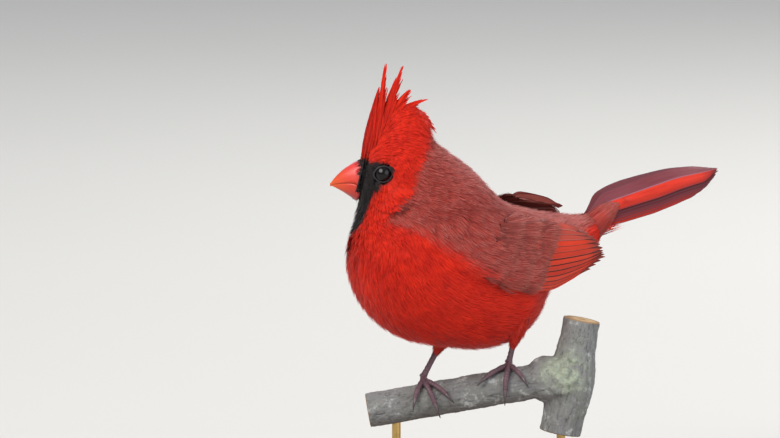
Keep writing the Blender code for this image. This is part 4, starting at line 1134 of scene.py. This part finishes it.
def plume(path, facing, half, barbs, chance):
    # one long feather: a shaft, and on each side barbs that leave it at a low angle
    points, faces, vane = [], [], []
    steps = np.linspace(0, 1, len(path))

    def at(r):
        return np.array([np.interp(r, steps, path[:, k]) for k in range(3)])
    ahead = unit(path[-1] - path[0])
    across = unit(np.cross(facing, ahead))
    shaft = 0.17
    for r in np.linspace(0, 1, 6):
        here = at(r)
        wide = shaft * (1 - 0.7 * r)
        points += [here - across * wide, here + across * wide]
        vane += [(0.46, r), (0.54, r)]
    faces += [(2 * i, 2 * i + 2, 2 * i + 3, 2 * i + 1) for i in range(5)]
    for side in (-1, 1):
        for k in range(barbs):
            r = 0.04 + 0.84 * (k + 0.5 * chance.random()) / barbs
            reach = 0.26 * (1 - 0.4 * r)
            width = half * math.sin(math.pi * min(1, r * 0.72 + 0.24)) ** 0.8 * (0.7 + 0.5 * chance.random())
            width *= 1 - 0.8 * r
            droop = facing * 0.22 * chance.normal()
            start, middle, end = at(r), at(min(1, r + reach * 0.55)), at(min(1, r + reach))
            middle = middle + across * side * width * 0.75 + droop * 0.5
            end = end + across * side * width * (1 - 0.35 * r) + droop
            thick = 0.20 * (1 - 0.5 * r) * across
            base = len(points)
            points += [start - thick, start + thick, middle - thick, middle + thick, end, end + thick * 0.3]
            vane += [(0.5, r), (0.5, r), (0.5 + 0.3 * side, r + 0.1), (0.5 + 0.3 * side, r + 0.1),
                     (0.5 + 0.5 * side, r + 0.2), (0.5 + 0.5 * side, r + 0.2)]
            faces += [(base, base + 2, base + 3, base + 1), (base + 2, base + 4, base + 5, base + 3)]
    tilts = chance.normal(size=(len(points), 1)) * 0.15
    return np.array(points), np.array(faces), np.array(vane), unit(facing + across * tilts)


def makeCrest():
    chance = np.random.default_rng(21)
    n = crest["count"]
    rank = (np.arange(n) + 0.5) / n
    top = len(crest["rows"]) - 1
    lane = chance.uniform(-1, 1, n)
    rootF, tipF, tipU = along(crest["rows"], rank * top).T
    left = lane * crest["spread"] * (0.45 + 0.55 * np.sin(math.pi * np.clip(rank + 0.12, 0, 1)))
    crown = crownHeights(rootF, left)
    # tips gather in a few spikes, so that gaps show between them
    spikes = np.array(crest["spikes"])
    gather = spikes[np.argmin(np.abs(spikes[None] - (rank * top)[:, None]), 1)]
    spikeF, spikeU = along(crest["rows"], gather).T[1:]
    short = 1 - 0.72 * chance.random(n) ** 0.65 - 0.06 * np.abs(lane)
    short[chance.random(n) < 0.05] = 0.99
    share = np.clip(0.15 + 0.85 * short + 0.12 * chance.normal(size=n), 0.1, 1.0)
    tipF, tipU = tipF + (spikeF - tipF) * share, tipU + (spikeU - tipU) * share
    tipU = crown + (tipU - crown) * short
    tipF = rootF + (tipF - rootF) * (0.3 + 0.7 * short) + 0.35 * chance.normal(size=n)
    root = headPoint(rootF + 0.5, left, crown - 1.6)
    tip = headPoint(tipF, left * 0.45 + 0.4 * chance.normal(size=n), tipU)
    lean = headPoint(rootF + 0.36 * (tipF - rootF), left * 1.1, crown + (tipU - crown) * 0.5)
    allPoints, allFaces, allVane, allBake, allMarks, allNormals, count = [], [], [], [], [], [], 0
    s = np.linspace(0, 1, 9)[:, None]
    for k in range(n):
        path = root[k] * (1 - s) ** 2 + lean[k] * 2 * s * (1 - s) + tip[k] * s ** 2
        facing = unit(headWay[:, 1] * (1 if lane[k] > 0 else -1) + 0.35 * chance.normal() * headWay[:, 0])
        points, faces, vane, normals = plume(path, facing, crest["half"] * chance.uniform(0.75, 1.2), crest["barbs"],
                                             chance)
        u, v = coatBed.bakePlace(0.6 + 3.4 * rank[k], left[k] / 40 % (2 * math.pi))
        allPoints.append(points)
        allNormals.append(normals)
        allFaces.append(faces + count)
        allVane.append(vane)
        allBake.append(np.stack([u + 0.003 * (vane[:, 0] - 0.5), v + 0.003 * (vane[:, 1] - 0.5)], -1))
        # the front feathers are streaked darker, and the hindmost are a little dull
        dark = 0.5 * smooth((0.24 - rank[k]) / 0.2) * chance.random() ** 2
        dull = 0.2 * smooth((rank[k] - 0.75) / 0.25)
        allMarks.append(np.tile((dark, dull, chance.random(), 1.0), (len(points), 1)))
        count += len(points)
    made = makeMesh("crest", np.concatenate(allPoints), np.concatenate(allFaces),
                    {"OFBake": np.concatenate(allBake), "vane": np.concatenate(allVane)}, np.concatenate(allMarks),
                    normals=np.concatenate(allNormals))
    place(made, coatFinish, "crest_plumage")
    print("crest:", len(made.data.polygons), "faces")


makeCrest()


# Bill

def hornFinish():
    finish = Finish("coral bill", Roughness=0.36, Specular_IOR_Level=0.5, Coat_Weight=0.15, Coat_Roughness=0.3,
                    Subsurface_Weight=0.12, Subsurface_Scale=0.002)
    colour = finish.node("Attribute", {"attribute_name": "mark"})
    low, tipward = (finish.node("SeparateColor", None, {0: colour}, i) for i in range(2))
    grain = finish.clouds(700.0, 4.0, 0.6, None, (1.0, 1.0, 2.2))
    spots = finish.clouds(1800.0, 2.0)
    # the colour runs by height: the ridge pinker and paler as painted highlight, darker towards the lower edge
    base = finish.ramp(low + (grain - 0.5) * 0.25, (0.0, tone(216, 58, 66)), (0.3, tone(208, 44, 34)),
                       (0.62, tone(188, 40, 20)), (1.0, tone(146, 34, 36)))
    base = finish.mix(tipward * tipward * 1.1, base, tone(212, 82, 16))
    base = finish.mix((spots - 0.55) * 0.9, base, tone(140, 34, 26))
    finish.set("Base Color", base)
    finish.set("Roughness", 0.30 + grain * 0.22)
    finish.bump(grain, 0.18, 0.0002)
    return finish.material


hornMaterial = hornFinish()


def makeBillHalf(name, upper):
    rows, around, inner = 46, 33, 9
    # rows stand closer near the tip, to round it
    nearTip = 1 - 0.1 * (1 - np.linspace(0.1, 1, 8)) ** 1.5 - 0.002
    shares = np.concatenate([np.linspace(-0.06, 0.9, rows - len(nearTip)), nearTip])
    rings, colours = [], []
    for share in shares:
        q = max(share, 0.0)
        a = q * bill["length"]
        top = bill["top"] * (1 - q ** 1.8) + 0.12
        bottom = -bill["bottom"] * (1 - q ** 1.1) - 0.25
        mouth = -3.4 * math.exp(-a / 3.0) * (1 - q) + (0.06 if upper else -0.06) - 0.1 * q
        width = bill["halfWidth"] * (1 - q ** 1.45) + 0.25
        if not upper:
            width -= 0.25 * (1 - q)
        reach = (top if upper else bottom) - mouth
        b = math.pi * np.arange(around) / (around - 1)
        lean = np.abs(np.cos(b)) ** 0.85 * np.sign(np.cos(b))
        edge = 0.22 * np.exp(-(np.minimum(b, math.pi - b) / 0.10) ** 2) * (1 - q)
        left = (width + edge) * lean
        up = mouth + reach * np.sin(b) ** 0.8
        left = np.concatenate([left, np.linspace(-width, width, inner + 2)[1:-1]])
        up = np.concatenate([up, np.full(inner, mouth) + (0.7 if upper else -0.7)
                             * np.sin(np.linspace(0, math.pi, inner + 2)[1:-1])])
        start = billBaseAt(left, up)
        begin = (start - np.array(bill["base"])) @ billWay[:, 0]
        forward = a + begin * (1 - q) - (0.8 if share < 0 else 0.0)
        spot = np.array(bill["base"]) + np.stack([forward, left, up], -1) @ billWay.T
        if upper:
            for side in (1, -1):
                hole = np.hypot((forward - begin - 2.2) / 1.15, (up - 4.1) / 0.75)
                pit = np.exp(-hole ** 4) * (np.sign(left) == side)
                spot = spot - pit[:, None] * 0.9 * side * billWay[:, 1]
        rings.append(spot)
        # the first share is the depth below the ridge, which carries the bill's painted highlight
        height = (up + bill["bottom"]) / (bill["top"] + bill["bottom"])
        colours.append(np.stack([1 - height, np.full(len(up), q), np.zeros(len(up)), np.ones(len(up))], -1))
    points, faces = loft(rings)
    colours = np.array(colours)
    colours = np.concatenate([colours[:1], colours, colours[-1:]])
    piece = makeMesh("fine " + name, points, faces, None, colours)
    place(piece, hornMaterial, "bill_horn", (name,))


makeBillHalf("bill_upper", True)
makeBillHalf("bill_lower", False)
print("bill made")


# Eyes and lids

def eyeFinish():
    finish = Finish("dark eye", Roughness=0.09, Specular_IOR_Level=0.28)
    polar = finish.vane()[1]
    cloud = finish.clouds(900.0, 3.0)
    finish.set("Base Color", finish.ramp(polar + (cloud - 0.5) * 0.02, (0.0, tone(6, 5, 6)), (0.15, tone(8, 6, 6)),
                                         (0.19, tone(22, 15, 16)), (0.30, tone(13, 10, 11)), (1.0, tone(10, 8, 9))))
    return finish.material


def lidFinish():
    finish = Finish("lid skin", Roughness=0.5, Specular_IOR_Level=0.4)
    grain = finish.clouds(2200.0, 3.0)
    finish.set("Base Color", finish.mix(grain, tone(14, 13, 16), tone(42, 39, 44)))
    finish.bump(grain, 0.5, 0.0002)
    return finish.material


eyeMaterial, lidMaterial = eyeFinish(), lidFinish()


def makeEye(name, side):
    out = headWay[:, 1] * side
    rows, columns = 40, 64
    polar = np.linspace(0, math.pi, rows)[:, None]
    turn = np.linspace(0, 2 * math.pi, columns + 1)[None]
    bulge = 1 + 0.035 * np.exp(-(polar / 0.5) ** 2)
    spot = (np.cos(polar) * bulge)[..., None] * out + (np.sin(polar) * np.cos(turn))[..., None] * headWay[:, 0]
    spot = spot + (np.sin(polar) * np.sin(turn))[..., None] * headWay[:, 2]
    vane = np.stack(np.broadcast_arrays(turn / (2 * math.pi), polar / math.pi), -1)
    piece = makeMesh("fine " + name, eyeCentre[side] + spot * eye["radius"], gridFaces(rows, columns + 1),
                     {"vane": vane})
    place(piece, eyeMaterial, "eye", (name,))
    # the ring of the lids, beaded and drawn out to the corners
    count, sides = 96, 12
    rings = []
    for k in range(count):
        b = 2 * math.pi * k / count
        ray = headWay[:, 0] * math.cos(b) * 1.10 + headWay[:, 2] * math.sin(b)
        corner = 0.45 * max(0.0, abs(math.cos(b)) - 0.86) / 0.14
        middle = eyeCentre[side] + out * (2.75 + 0.1 * math.sin(b)) + ray * (3.62 + 0.6 * corner)
        bead = 0.47 + 0.04 * math.sin(k * 2 * math.pi / 3)
        c = np.arange(sides) * 2 * math.pi / sides
        rings.append(middle + bead * (np.cos(c)[:, None] * unit(ray) * 0.9 + np.sin(c)[:, None] * out))
    points = np.array(rings).reshape(-1, 3)
    faces = gridFaces(count, sides, True).tolist()
    last = (count - 1) * sides
    faces += [(last + j, last + (j + 1) % sides, (j + 1) % sides, j) for j in range(sides)]
    place(makeMesh("lids " + ("left" if side > 0 else "right"), points, faces), lidMaterial, "eye")


makeEye("eye_left", 1)
makeEye("eye_right", -1)
print("eyes made")


# Perch: a cut branch that ends in the fork of a broken upright limb

perch = {
    "radius": 8.3, "slope": 0.175, "height": 55.4, "cut": -51.0, "fork": 37.0,
    "limbFoot": (36.5, 2.0, 36.0), "limbTop": (46.5, 2.0, 88.0), "limbRadius": 10.0, "grain": 0.5,
}
branchWay = unit([1, 0, perch["slope"]])
branchUp = unit([-perch["slope"], 0, 1])
shownWay = np.array([0, -1.0, 0])
limbFoot, limbTop = np.array(perch["limbFoot"]), np.array(perch["limbTop"])
limbWay = unit(limbTop - limbFoot)


def branchAxis(x):
    return np.array([x, 0.0, perch["height"] + perch["slope"] * x])


def onBranch(x, angle, radius):
    # angle 0 is the branch's top, and 90 degrees the side that shows
    a = math.radians(angle)
    return branchAxis(x) + radius * (math.sin(a) * shownWay + math.cos(a) * branchUp)


def woodTube(start, way, length, radius, name):
    # a closed tube round a straight axis, with its radius given for each distance along it
    one = unit(np.cross(way, shownWay))
    two = np.cross(way, one)
    count = max(8, int(length / 1.5))
    b = np.arange(48) * 2 * math.pi / 48
    rings = [start + way * a + radius(a) * (np.cos(b)[:, None] * one + np.sin(b)[:, None] * two)
             for a in np.linspace(0, length, count)]
    return makeMesh(name, *loft(rings))


def roundMesh(name, centre, half, way, rows=24, columns=32):
    polar = np.linspace(0, math.pi, rows)[:, None]
    turn = (np.arange(columns) * 2 * math.pi / columns)[None]
    level = np.sin(polar)
    local = np.stack(np.broadcast_arrays(np.cos(polar), level * np.cos(turn), level * np.sin(turn)), -1)
    return makeMesh(name, (centre + (local * half) @ way.T), gridFaces(rows, columns, True))


def barkFinish():
    finish = Finish("grey bark", Roughness=0.85, Specular_IOR_Level=0.2)
    deep, lichen, cutEnd = finish.mark()
    lengthwise = finish.node("UVMap", {"uv_map": "grain"})
    fibre = finish.clouds(1.0, 5.0, 0.62, lengthwise, (0.10, 0.75, 1.0))
    patch = finish.clouds(62.0, 4.0, 0.6)
    fleck = finish.clouds(620.0, 4.0, 0.7)
    pale = finish.clouds(190.0, 4.0, 0.7)
    wood = finish.mix(fibre, tone(82, 80, 82), tone(150, 150, 152))
    wood = finish.mix((patch - 0.42) * 2.2, wood, tone(104, 101, 100))
    wood = finish.mix((pale - 0.56) * 6.0, wood, tone(184, 185, 188))
    wood = finish.mix((fleck - 0.53) * 4.0, wood, tone(62, 59, 58))
    green = finish.mix(pale, tone(112, 120, 104), tone(176, 184, 164))
    wood = finish.mix(lichen * ((patch + fleck + pale) * 2.6 - 3.2), wood, green)
    # painted shade: the fissures are painted darker as well as sunk
    wood = finish.mix(deep * 0.45, wood, tone(58, 54, 52))
    rings = finish.node("TexWave", {"wave_type": "RINGS", "rings_direction": "SPHERICAL"},
                        {"Vector": finish.node("UVMap", {"uv_map": "rings"}), "Scale": 0.42, "Distortion": 1.8,
                         "Detail": 3.0})
    sawn = finish.mix(rings, tone(150, 122, 88), tone(190, 164, 124))
    sawn = finish.mix((fleck - 0.5) * 1.2, sawn, tone(120, 96, 70))
    finish.set("Base Color", finish.mix(cutEnd, wood, sawn))
    finish.set("Roughness", 0.74 + fibre * 0.2)
    finish.bump((fibre * 0.7 + fleck * 0.5) * (1.0 - cutEnd * 0.8), 0.6, 0.0006)
    return finish.material


def makePerch():
    branchLength = float((branchAxis(perch["fork"]) - branchAxis(perch["cut"])) @ branchWay)
    limbLength = float(np.linalg.norm(limbTop - limbFoot))
    pieces = [
        woodTube(branchAxis(perch["cut"]), branchWay, branchLength, lambda a: perch["radius"] - 0.25, "branch"),
        woodTube(limbFoot, limbWay, limbLength,
                 lambda a: perch["limbRadius"] - 0.35 + 2.2 * math.exp(-((a - 24) / 11) ** 2) - 0.02 * a, "limb"),
        roundMesh("collar", branchAxis(perch["fork"] - 6), (11.0, 10.6, 11.2),
                  turned(0, -math.degrees(math.atan(perch["slope"])))),
        roundMesh("knob", branchAxis(perch["fork"]) + np.array([0, -5.0, -1.5]), (9.5, 7.0, 8.0),
                  turned(0, -math.degrees(math.atan(perch["slope"])))),
    ]
    made = joined("perch wood", pieces)
    remesh = made.modifiers.new("even faces", "REMESH")
    remesh.mode, remesh.voxel_size = "VOXEL", perch["grain"] * 0.001
    softened = made.modifiers.new("soft joins", "SMOOTH")
    softened.factor, softened.iterations = 0.5, 6
    evaluated = made.evaluated_get(bpy.context.evaluated_depsgraph_get())
    mesh = bpy.data.meshes.new_from_object(evaluated)
    made.modifiers.clear()
    made.data = mesh
    count = len(mesh.vertices)
    points = np.empty(count * 3, np.float32)
    normals = np.empty(count * 3, np.float32)
    mesh.vertices.foreach_get("co", points)
    mesh.vertices.foreach_get("normal", normals)
    points, normals = points.reshape(-1, 3) * 1000.0, normals.reshape(-1, 3)
    onLimb = np.linalg.norm(np.cross(points - limbFoot, limbWay), axis=-1) < 15.5
    onLimb &= points[:, 0] > 20
    start = np.where(onLimb[:, None], limbFoot, branchAxis(perch["cut"]))
    way = np.where(onLimb[:, None], limbWay, branchWay)
    a = np.sum((points - start) * way, -1)
    radial = points - start - a[:, None] * way
    flatUp = np.where(onLimb[:, None], np.array([1.0, 0, 0]), branchUp)
    b = np.arctan2(radial @ -shownWay, np.sum(radial * flatUp, -1))
    share = 1 - np.clip((np.abs(np.sum(normals * way, -1)) - 0.6) / 0.25, 0, 1)
    ends = (a < 1.2) | (a > np.where(onLimb, limbLength, branchLength) - 1.2)
    cutEnd = np.where(ends & (share < 0.5), 1.0, 0.0)
    # fissures run lengthwise, and wander; plates lie between them
    deep, lift = np.zeros(count), np.zeros(count)
    for k in range(count):
        seedA, seedB = a[k], b[k]
        wide = 9.5 if onLimb[k] else 8.0
        cell = Vector((seedA * 0.045, math.cos(seedB) * wide * 0.16, math.sin(seedB) * wide * 0.16 + 7 * onLimb[k]))
        crack = abs(noise.noise(cell * 2.0) + 0.35 * noise.noise(cell * 5.0))
        fine = noise.noise(Vector((seedA * 0.5, math.cos(seedB) * 6, math.sin(seedB) * 6)))
        lump = noise.noise(Vector(points[k] * 0.13))
        deep[k] = max(0.0, 1 - crack / 0.06)
        lift[k] = -0.40 * deep[k] + 0.24 * fine + 0.45 * lump - 0.2
    # rings ripple out from the old knot at the fork
    fromKnot = np.linalg.norm(points - (branchAxis(perch["fork"]) + [2.0, -10.0, 4.0]), axis=-1)
    knot = np.exp(-(fromKnot / 9.0) ** 2)
    lift += knot * np.sin(fromKnot * 1.3) * 0.7
    lift *= 1 - cutEnd
    points = points + normals * lift[:, None]
    mesh.vertices.foreach_set("co", (points * 0.001).astype(np.float32).ravel())
    lichen = np.clip(knot * 1.4 + 0.15, 0, 1)
    # the mark carries the fissures for their painted shade, the lichen and the sawn ends
    marked = mesh.attributes.new("mark", "FLOAT_COLOR", "POINT")
    marked.data.foreach_set("color", np.stack([deep * (1 - cutEnd), lichen, cutEnd, np.ones(count)], -1)
                            .astype(np.float32).ravel())
    corner = np.empty(len(mesh.loops), np.int32)
    mesh.loops.foreach_get("vertex_index", corner)
    grain = np.stack([a, np.abs(b) * 9.0 + 40.0 * onLimb], -1)
    ringsAt = np.stack([radial @ -shownWay, np.sum(radial * flatUp, -1)], -1) / 10.0
    for title, where in (("grain", grain), ("rings", ringsAt)):
        layer = mesh.uv_layers.new(name=title)
        layer.data.foreach_set("uv", where[corner].astype(np.float32).ravel())
    mesh.polygons.foreach_set("use_smooth", np.ones(len(mesh.polygons), bool))
    mesh.update()
    place(made, barkFinish(), "bark", ("perch",))
    print("perch:", len(mesh.polygons), "faces")


makePerch()


# Legs: scuted shanks and toes wrapped round the branch, and their claws

feet = {
    # where each stands along the branch, its ankle, and each toe's end angle, shift and claw length
    "right": (-24.0, (-14.5, 4.5, 83.0), (
        ("middle", 97, 3.4, 7.0), ("inner", 74, -5.0, 5.5), ("outer", 76, 9.0, 5.5), ("hind", -92, 1.0, 7.5))),
    "left": (15.0, (18.0, -3.0, 89.0), (
        ("middle", 93, -3.6, 7.0), ("inner", 50, -11.5, 5.5), ("outer", 68, 5.0, 5.5), ("hind", -92, -1.0, 7.5))),
}
legSize = {"tarsus": 1.58, "toe": 1.30, "height": perch["radius"] + 1.55}


def legFinish():
    finish = Finish("scaled leg", Roughness=0.5, Specular_IOR_Level=0.4)
    plate, low, _ = finish.mark()
    grain = finish.clouds(1500.0, 4.0, 0.6)
    patch = finish.clouds(260.0, 3.0)
    colour = finish.mix(patch, tone(66, 46, 52), tone(118, 88, 98))
    colour = finish.mix(low * 0.5, colour, tone(112, 90, 98))
    colour = finish.mix((grain - 0.5) * 1.4, colour, tone(52, 38, 42))
    colour = finish.mix(plate * 0.8, colour, tone(30, 20, 24))
    finish.set("Base Color", colour)
    finish.set("Roughness", 0.40 + grain * 0.25)
    finish.bump(grain, 0.25, 0.00015)
    return finish.material


def clawFinish():
    finish = Finish("dark claw", Roughness=0.3, Specular_IOR_Level=0.5)
    reach = finish.vane()[1]
    grain = finish.clouds(1200.0, 3.0)
    finish.set("Base Color", finish.mix(reach * 0.8 + (grain - 0.5) * 0.4, tone(92, 78, 82), tone(30, 25, 27)))
    finish.bump(grain, 0.15, 0.0001)
    return finish.material


legMaterial, clawMaterial = legFinish(), clawFinish()


def fineTube(path, radii, sides, hint, flat=1.0, scutes=0.0, bump=0.0):
    # a tube whose shown half carries overlapping scutes, each a few mm long
    path, radii = np.asarray(path, float), np.asarray(radii, float)
    ahead = unit(np.gradient(path, axis=0))
    one = unit(np.cross(ahead, hint))
    two = np.cross(ahead, one)
    length = np.concatenate([[0], np.cumsum(np.linalg.norm(np.diff(path, axis=0), axis=-1))])
    b = np.arange(sides) * 2 * math.pi / sides
    rings, plates = [], []
    for i in range(len(path)):
        step = (length[i] / scutes) % 1.0 if scutes else 0.5
        front = 0.5 + 0.5 * np.cos(b)
        swell = 1 + bump * (0.5 - step) * front
        rings.append(path[i] + radii[i] * swell[:, None]
                     * (np.cos(b)[:, None] * one[i] * flat + np.sin(b)[:, None] * two[i]))
        groove = max(0.0, 1 - abs(step - 0.97) / 0.10) + max(0.0, 1 - (step + 0.03) / 0.10)
        plates.append(np.stack([groove * (0.25 + 0.75 * front), 1 - front, np.zeros(sides), np.ones(sides)], -1))
    return np.array(rings), np.array(plates)


def smoothPath(rows, count):
    return along(rows, np.linspace(0, len(rows) - 1, count))


def toeLine(x, end, shift, count=8):
    s = np.linspace(0, 1, count)
    lift = 0.9 * (1 - smooth(s / 0.25))
    alongBranch = x + shift * smooth(s * 0.85) / smooth(0.85)
    return np.array([onBranch(p, end * q, legSize["height"] + r) for p, q, r in zip(alongBranch, s, lift)])


def thighTufts(side, ankle, way, kneeEnd, reach):
    # trousers: a sleeve over the thigh, and soft feathers that run down it
    start = ankle - way * 2
    length = float(np.linalg.norm(kneeEnd - start))
    one = unit(np.cross(way, shownWay))
    two = np.cross(way, one)
    s = np.linspace(0, 1, 14)
    radii = np.interp(s, (0, (reach + 0.5) / length, 1), (5.6, 3.9, 1.9))
    b = np.arange(24) * 2 * math.pi / 24
    rings = [start + way * length * q + r * (np.cos(b)[:, None] * one + np.sin(b)[:, None] * two)
             for q, r in zip(s, radii)]
    sleeve("thigh feathers " + side, rings, 330, (6.5, 3.4), 0.12, (0.0, 0.30), 31 if side == "left" else 32)


def makeLeg(side):
    x, ankle, toes = feet[side]
    ankle = np.array(ankle)
    foot = onBranch(x, 0, legSize["height"] + 0.9)
    way = unit(foot - ankle)
    reach = 0.0
    while outside((ankle + way * reach)[None])[0] < 0:
        reach += 0.25
    kneeEnd = ankle + way * (reach + 3.6)
    thighTufts(side, ankle, way, kneeEnd, reach)
    tall = float(np.linalg.norm(foot - kneeEnd))
    shank = np.array([kneeEnd + (foot - kneeEnd) * q for q in np.linspace(-0.9 / tall, 1.02, 90)])
    radii = np.interp(np.linspace(0, 1, 90), (0, 0.2, 0.5, 0.8, 0.94, 1.0),
                      np.array([1.25, 1.16, 1.14, 1.22, 1.5, 1.62]) * legSize["tarsus"] / 1.3)
    tubes = [fineTube(shank, radii, 24, shownWay, 0.92, 2.1, 0.16)]
    for name, end, shift, claw in toes:
        path = toeLine(x, end, shift)
        fine = smoothPath(path, 70)
        bumps = np.array([1.0, 1.02, 0.88, 1.02, 0.84, 1.0, 0.8, 0.82])
        radii = legSize["toe"] * np.interp(np.linspace(0, 7, 70), np.arange(8), bumps)
        tubes.append(fineTube(fine, radii, 20, branchWay, 0.96, 1.35, 0.13))
        ahead = unit(path[-1] - path[-2])
        out = unit(path[-1] - branchAxis(x + shift))
        root = path[-1] - ahead * 0.1
        s = np.linspace(0, 1, 22)
        full = claw + 0.2
        line = root + ahead * (full * s)[:, None] + out * (full * (0.10 * np.sin(math.pi * s) - 0.05 * s))[:, None]
        thick = legSize["toe"] * np.interp(s, (0, 0.04, 0.2, 0.4, 0.6, 0.8, 0.94, 1),
                                           (0.5, 0.72, 0.66, 0.54, 0.40, 0.26, 0.14, 0.05))
        rings, _ = fineTube(line, thick, 16, branchWay, 1.15)
        points, faces = loft(rings)
        vane = np.zeros((len(rings) + 2, 16, 2))
        vane[..., 1] = np.concatenate([[0], s, [1]])[:, None]
        piece = makeMesh(f"fine claw {side} {name}", points, faces, {"vane": vane})
        place(piece, clawMaterial, "claw_horn", (f"claw_{side}_{name}",))
    points, faces, shades, count = [], [], [], 0
    for rings, plates in tubes:
        own, ownFaces = loft(rings)
        plates = np.concatenate([plates[:1], plates, plates[-1:]])
        points.append(own)
        faces.append(ownFaces + count)
        shades.append(plates.reshape(-1, 4))
        count += len(own)
    piece = makeMesh(f"fine leg {side}", np.concatenate(points), np.concatenate(faces), None, np.concatenate(shades))
    place(piece, legMaterial, "leg_skin", (f"leg_{side}",))


makeLeg("left")
makeLeg("right")
print("legs made")


# Stand

stand = {"length": 124.0, "width": 84.0, "height": 12.0, "corner": 12.0, "bevel": 1.6, "rod": 2.0,
         "rods": (("stand_rod_left", -38.0, 0.0, 45.45), ("stand_rod_right", 36.9, 2.0, 41.0)), "rodFrom": 7.0}


def walnutFinish():
    finish = Finish("oiled walnut", Roughness=0.42, Coat_Weight=0.15, Coat_Roughness=0.3)
    stretched = finish.node("Mapping", None, {"Vector": finish.node("TexCoord", output=3), "Scale": (1.0, 7.0, 5.0)})
    grain = finish.node("TexNoise", None, {"Vector": stretched, "Scale": 26.0, "Detail": 6.0, "Roughness": 0.62,
                                           "Distortion": 0.8})
    pores = finish.clouds(120.0, 4.0, 0.7, stretched)
    colour = finish.ramp(grain, (0.28, tone(58, 36, 24)), (0.46, tone(96, 62, 40)), (0.6, tone(122, 82, 54)),
                         (0.75, tone(84, 54, 36)))
    colour = finish.mix((pores - 0.58) * 3.0, colour, tone(40, 25, 18))
    finish.set("Base Color", colour)
    finish.set("Roughness", 0.36 + pores * 0.2)
    finish.bump(pores, 0.12, 0.0003)
    return finish.material


def brassFinish():
    finish = Finish("satin brass", Metallic=1.0, Roughness=0.3)
    brushed = finish.clouds(90.0, 4.0, 0.6, None, (30.0, 30.0, 1.0))
    spots = finish.clouds(160.0, 3.0)
    colour = finish.mix(brushed, tone(176, 142, 84), tone(208, 176, 112))
    finish.set("Base Color", finish.mix((spots - 0.55) * 2.0, colour, tone(140, 106, 62)))
    finish.set("Roughness", 0.24 + brushed * 0.2)
    finish.bump(brushed, 0.08, 0.0001)
    return finish.material


def makeStand():
    profile = [(0.0, 1.2), (0.3, 0.5), (0.8, 0.0)]
    bevel, height = stand["bevel"], stand["height"]
    profile += [(height - bevel + bevel * math.sin(q), bevel * (1 - math.cos(q)))
                for q in np.linspace(0, math.pi / 2, 8)]
    rings = []
    for z, inset in profile:
        points = []
        for quarter in range(4):
            cx = (stand["length"] / 2 - stand["corner"]) * (1 if quarter in (0, 3) else -1)
            cy = (stand["width"] / 2 - stand["corner"]) * (1 if quarter in (0, 1) else -1)
            for k in range(20):
                a = math.pi / 2 * (quarter + k / 19)
                points.append((cx + (stand["corner"] - inset) * math.cos(a),
                               cy + (stand["corner"] - inset) * math.sin(a), z))
        rings.append(np.array(points))
    made = makeMesh("stand plinth", *loft(rings))
    place(made, walnutFinish(), "stand_wood", ("stand_base",))
    brass = brassFinish()
    b = np.arange(48) * 2 * math.pi / 48
    for name, x, y, top in stand["rods"]:
        turnedProfile = [(stand["rodFrom"], 1.9), (height + 0.01, 1.95), (height + 0.02, 3.5), (height + 0.9, 3.5),
                         (height + 1.5, 3.2), (height + 1.9, 2.6), (height + 2.1, 2.0)]
        turnedProfile += [(z, stand["rod"]) for z in np.linspace(height + 3, top - 0.3, 8)] + [(top, 1.8)]
        rings = [np.stack([x + r * np.cos(b), y + r * np.sin(b), np.full(48, z)], -1) for z, r in turnedProfile]
        rod = makeMesh("fine " + name, *loft(rings))
        place(rod, brass, "stand_rod", (name,))
    print("stand made")


makeStand()


# Floor, light and camera

studio = {
    # wide is the picture's width in pixels, and pixels how many of them a mm takes up
    "floor": tone(206, 205, 202), "world": (0.86, 0.90, 0.96, 1.0), "worldPower": 0.50,
    # name, from where in mm, size in m, watts, colour
    "lamps": (
        ("key", (-900, -1300, 1500), 1.5, 42.0, (1.0, 0.96, 0.91)),
        ("fill", (1300, -1100, 700), 1.6, 12.0, (0.93, 0.96, 1.0)),
        ("rim", (700, 1300, 1300), 1.2, 22.0, (1.0, 0.98, 0.95)),
    ),
    "target": (-40.9, 0.0, 134.2), "elevation": 7.0, "distance": 8000.0, "wide": 780, "pixels": 2.2, "sensor": 36.0,
}


def makeStudio():
    size = 30000.0
    floor = makeMesh("floor", [(-size, -size, 0), (size, -size, 0), (size, size, 0), (-size, size, 0)],
                     [(0, 1, 2, 3)])
    finish = Finish("pale floor", Roughness=0.8, Specular_IOR_Level=0.2)
    grain = finish.clouds(3.0, 2.0)
    finish.set("Base Color", finish.mix(grain * 0.2, studio["floor"], tone(218, 216, 213)))
    floor.data.materials.append(finish.material)
    world = bpy.data.worlds.new("soft studio")
    bpy.context.scene.world = world
    world.use_nodes = True
    background = world.node_tree.nodes["Background"]
    background.inputs["Color"].default_value = studio["world"]
    background.inputs["Strength"].default_value = studio["worldPower"]
    target = Vector(studio["target"]) * 0.001
    for name, spot, wide, watts, colour in studio["lamps"]:
        lamp = bpy.data.lights.new(name, "AREA")
        lamp.shape, lamp.size, lamp.energy, lamp.color = "DISK", wide, watts, colour
        holder = bpy.data.objects.new(name, lamp)
        holder.location = Vector(spot) * 0.001
        holder.rotation_euler = (target - holder.location).to_track_quat("-Z", "Y").to_euler()
        bpy.context.scene.collection.objects.link(holder)
    camera = bpy.data.cameras.new("camera")
    camera.sensor_width = studio["sensor"]
    camera.lens = studio["sensor"] * studio["distance"] / (studio["wide"] / studio["pixels"])
    camera.clip_end = 100.0
    holder = bpy.data.objects.new("camera", camera)
    tilt = math.radians(studio["elevation"])
    holder.location = target + Vector((0, -math.cos(tilt), math.sin(tilt))) * studio["distance"] * 0.001
    holder.rotation_euler = (target - holder.location).to_track_quat("-Z", "Y").to_euler()
    bpy.context.scene.collection.objects.link(holder)
    bpy.context.scene.camera = holder
    bpy.context.scene.view_settings.view_transform = "Standard"


makeStudio()

bpy.context.view_layer.update()
print("studio made")
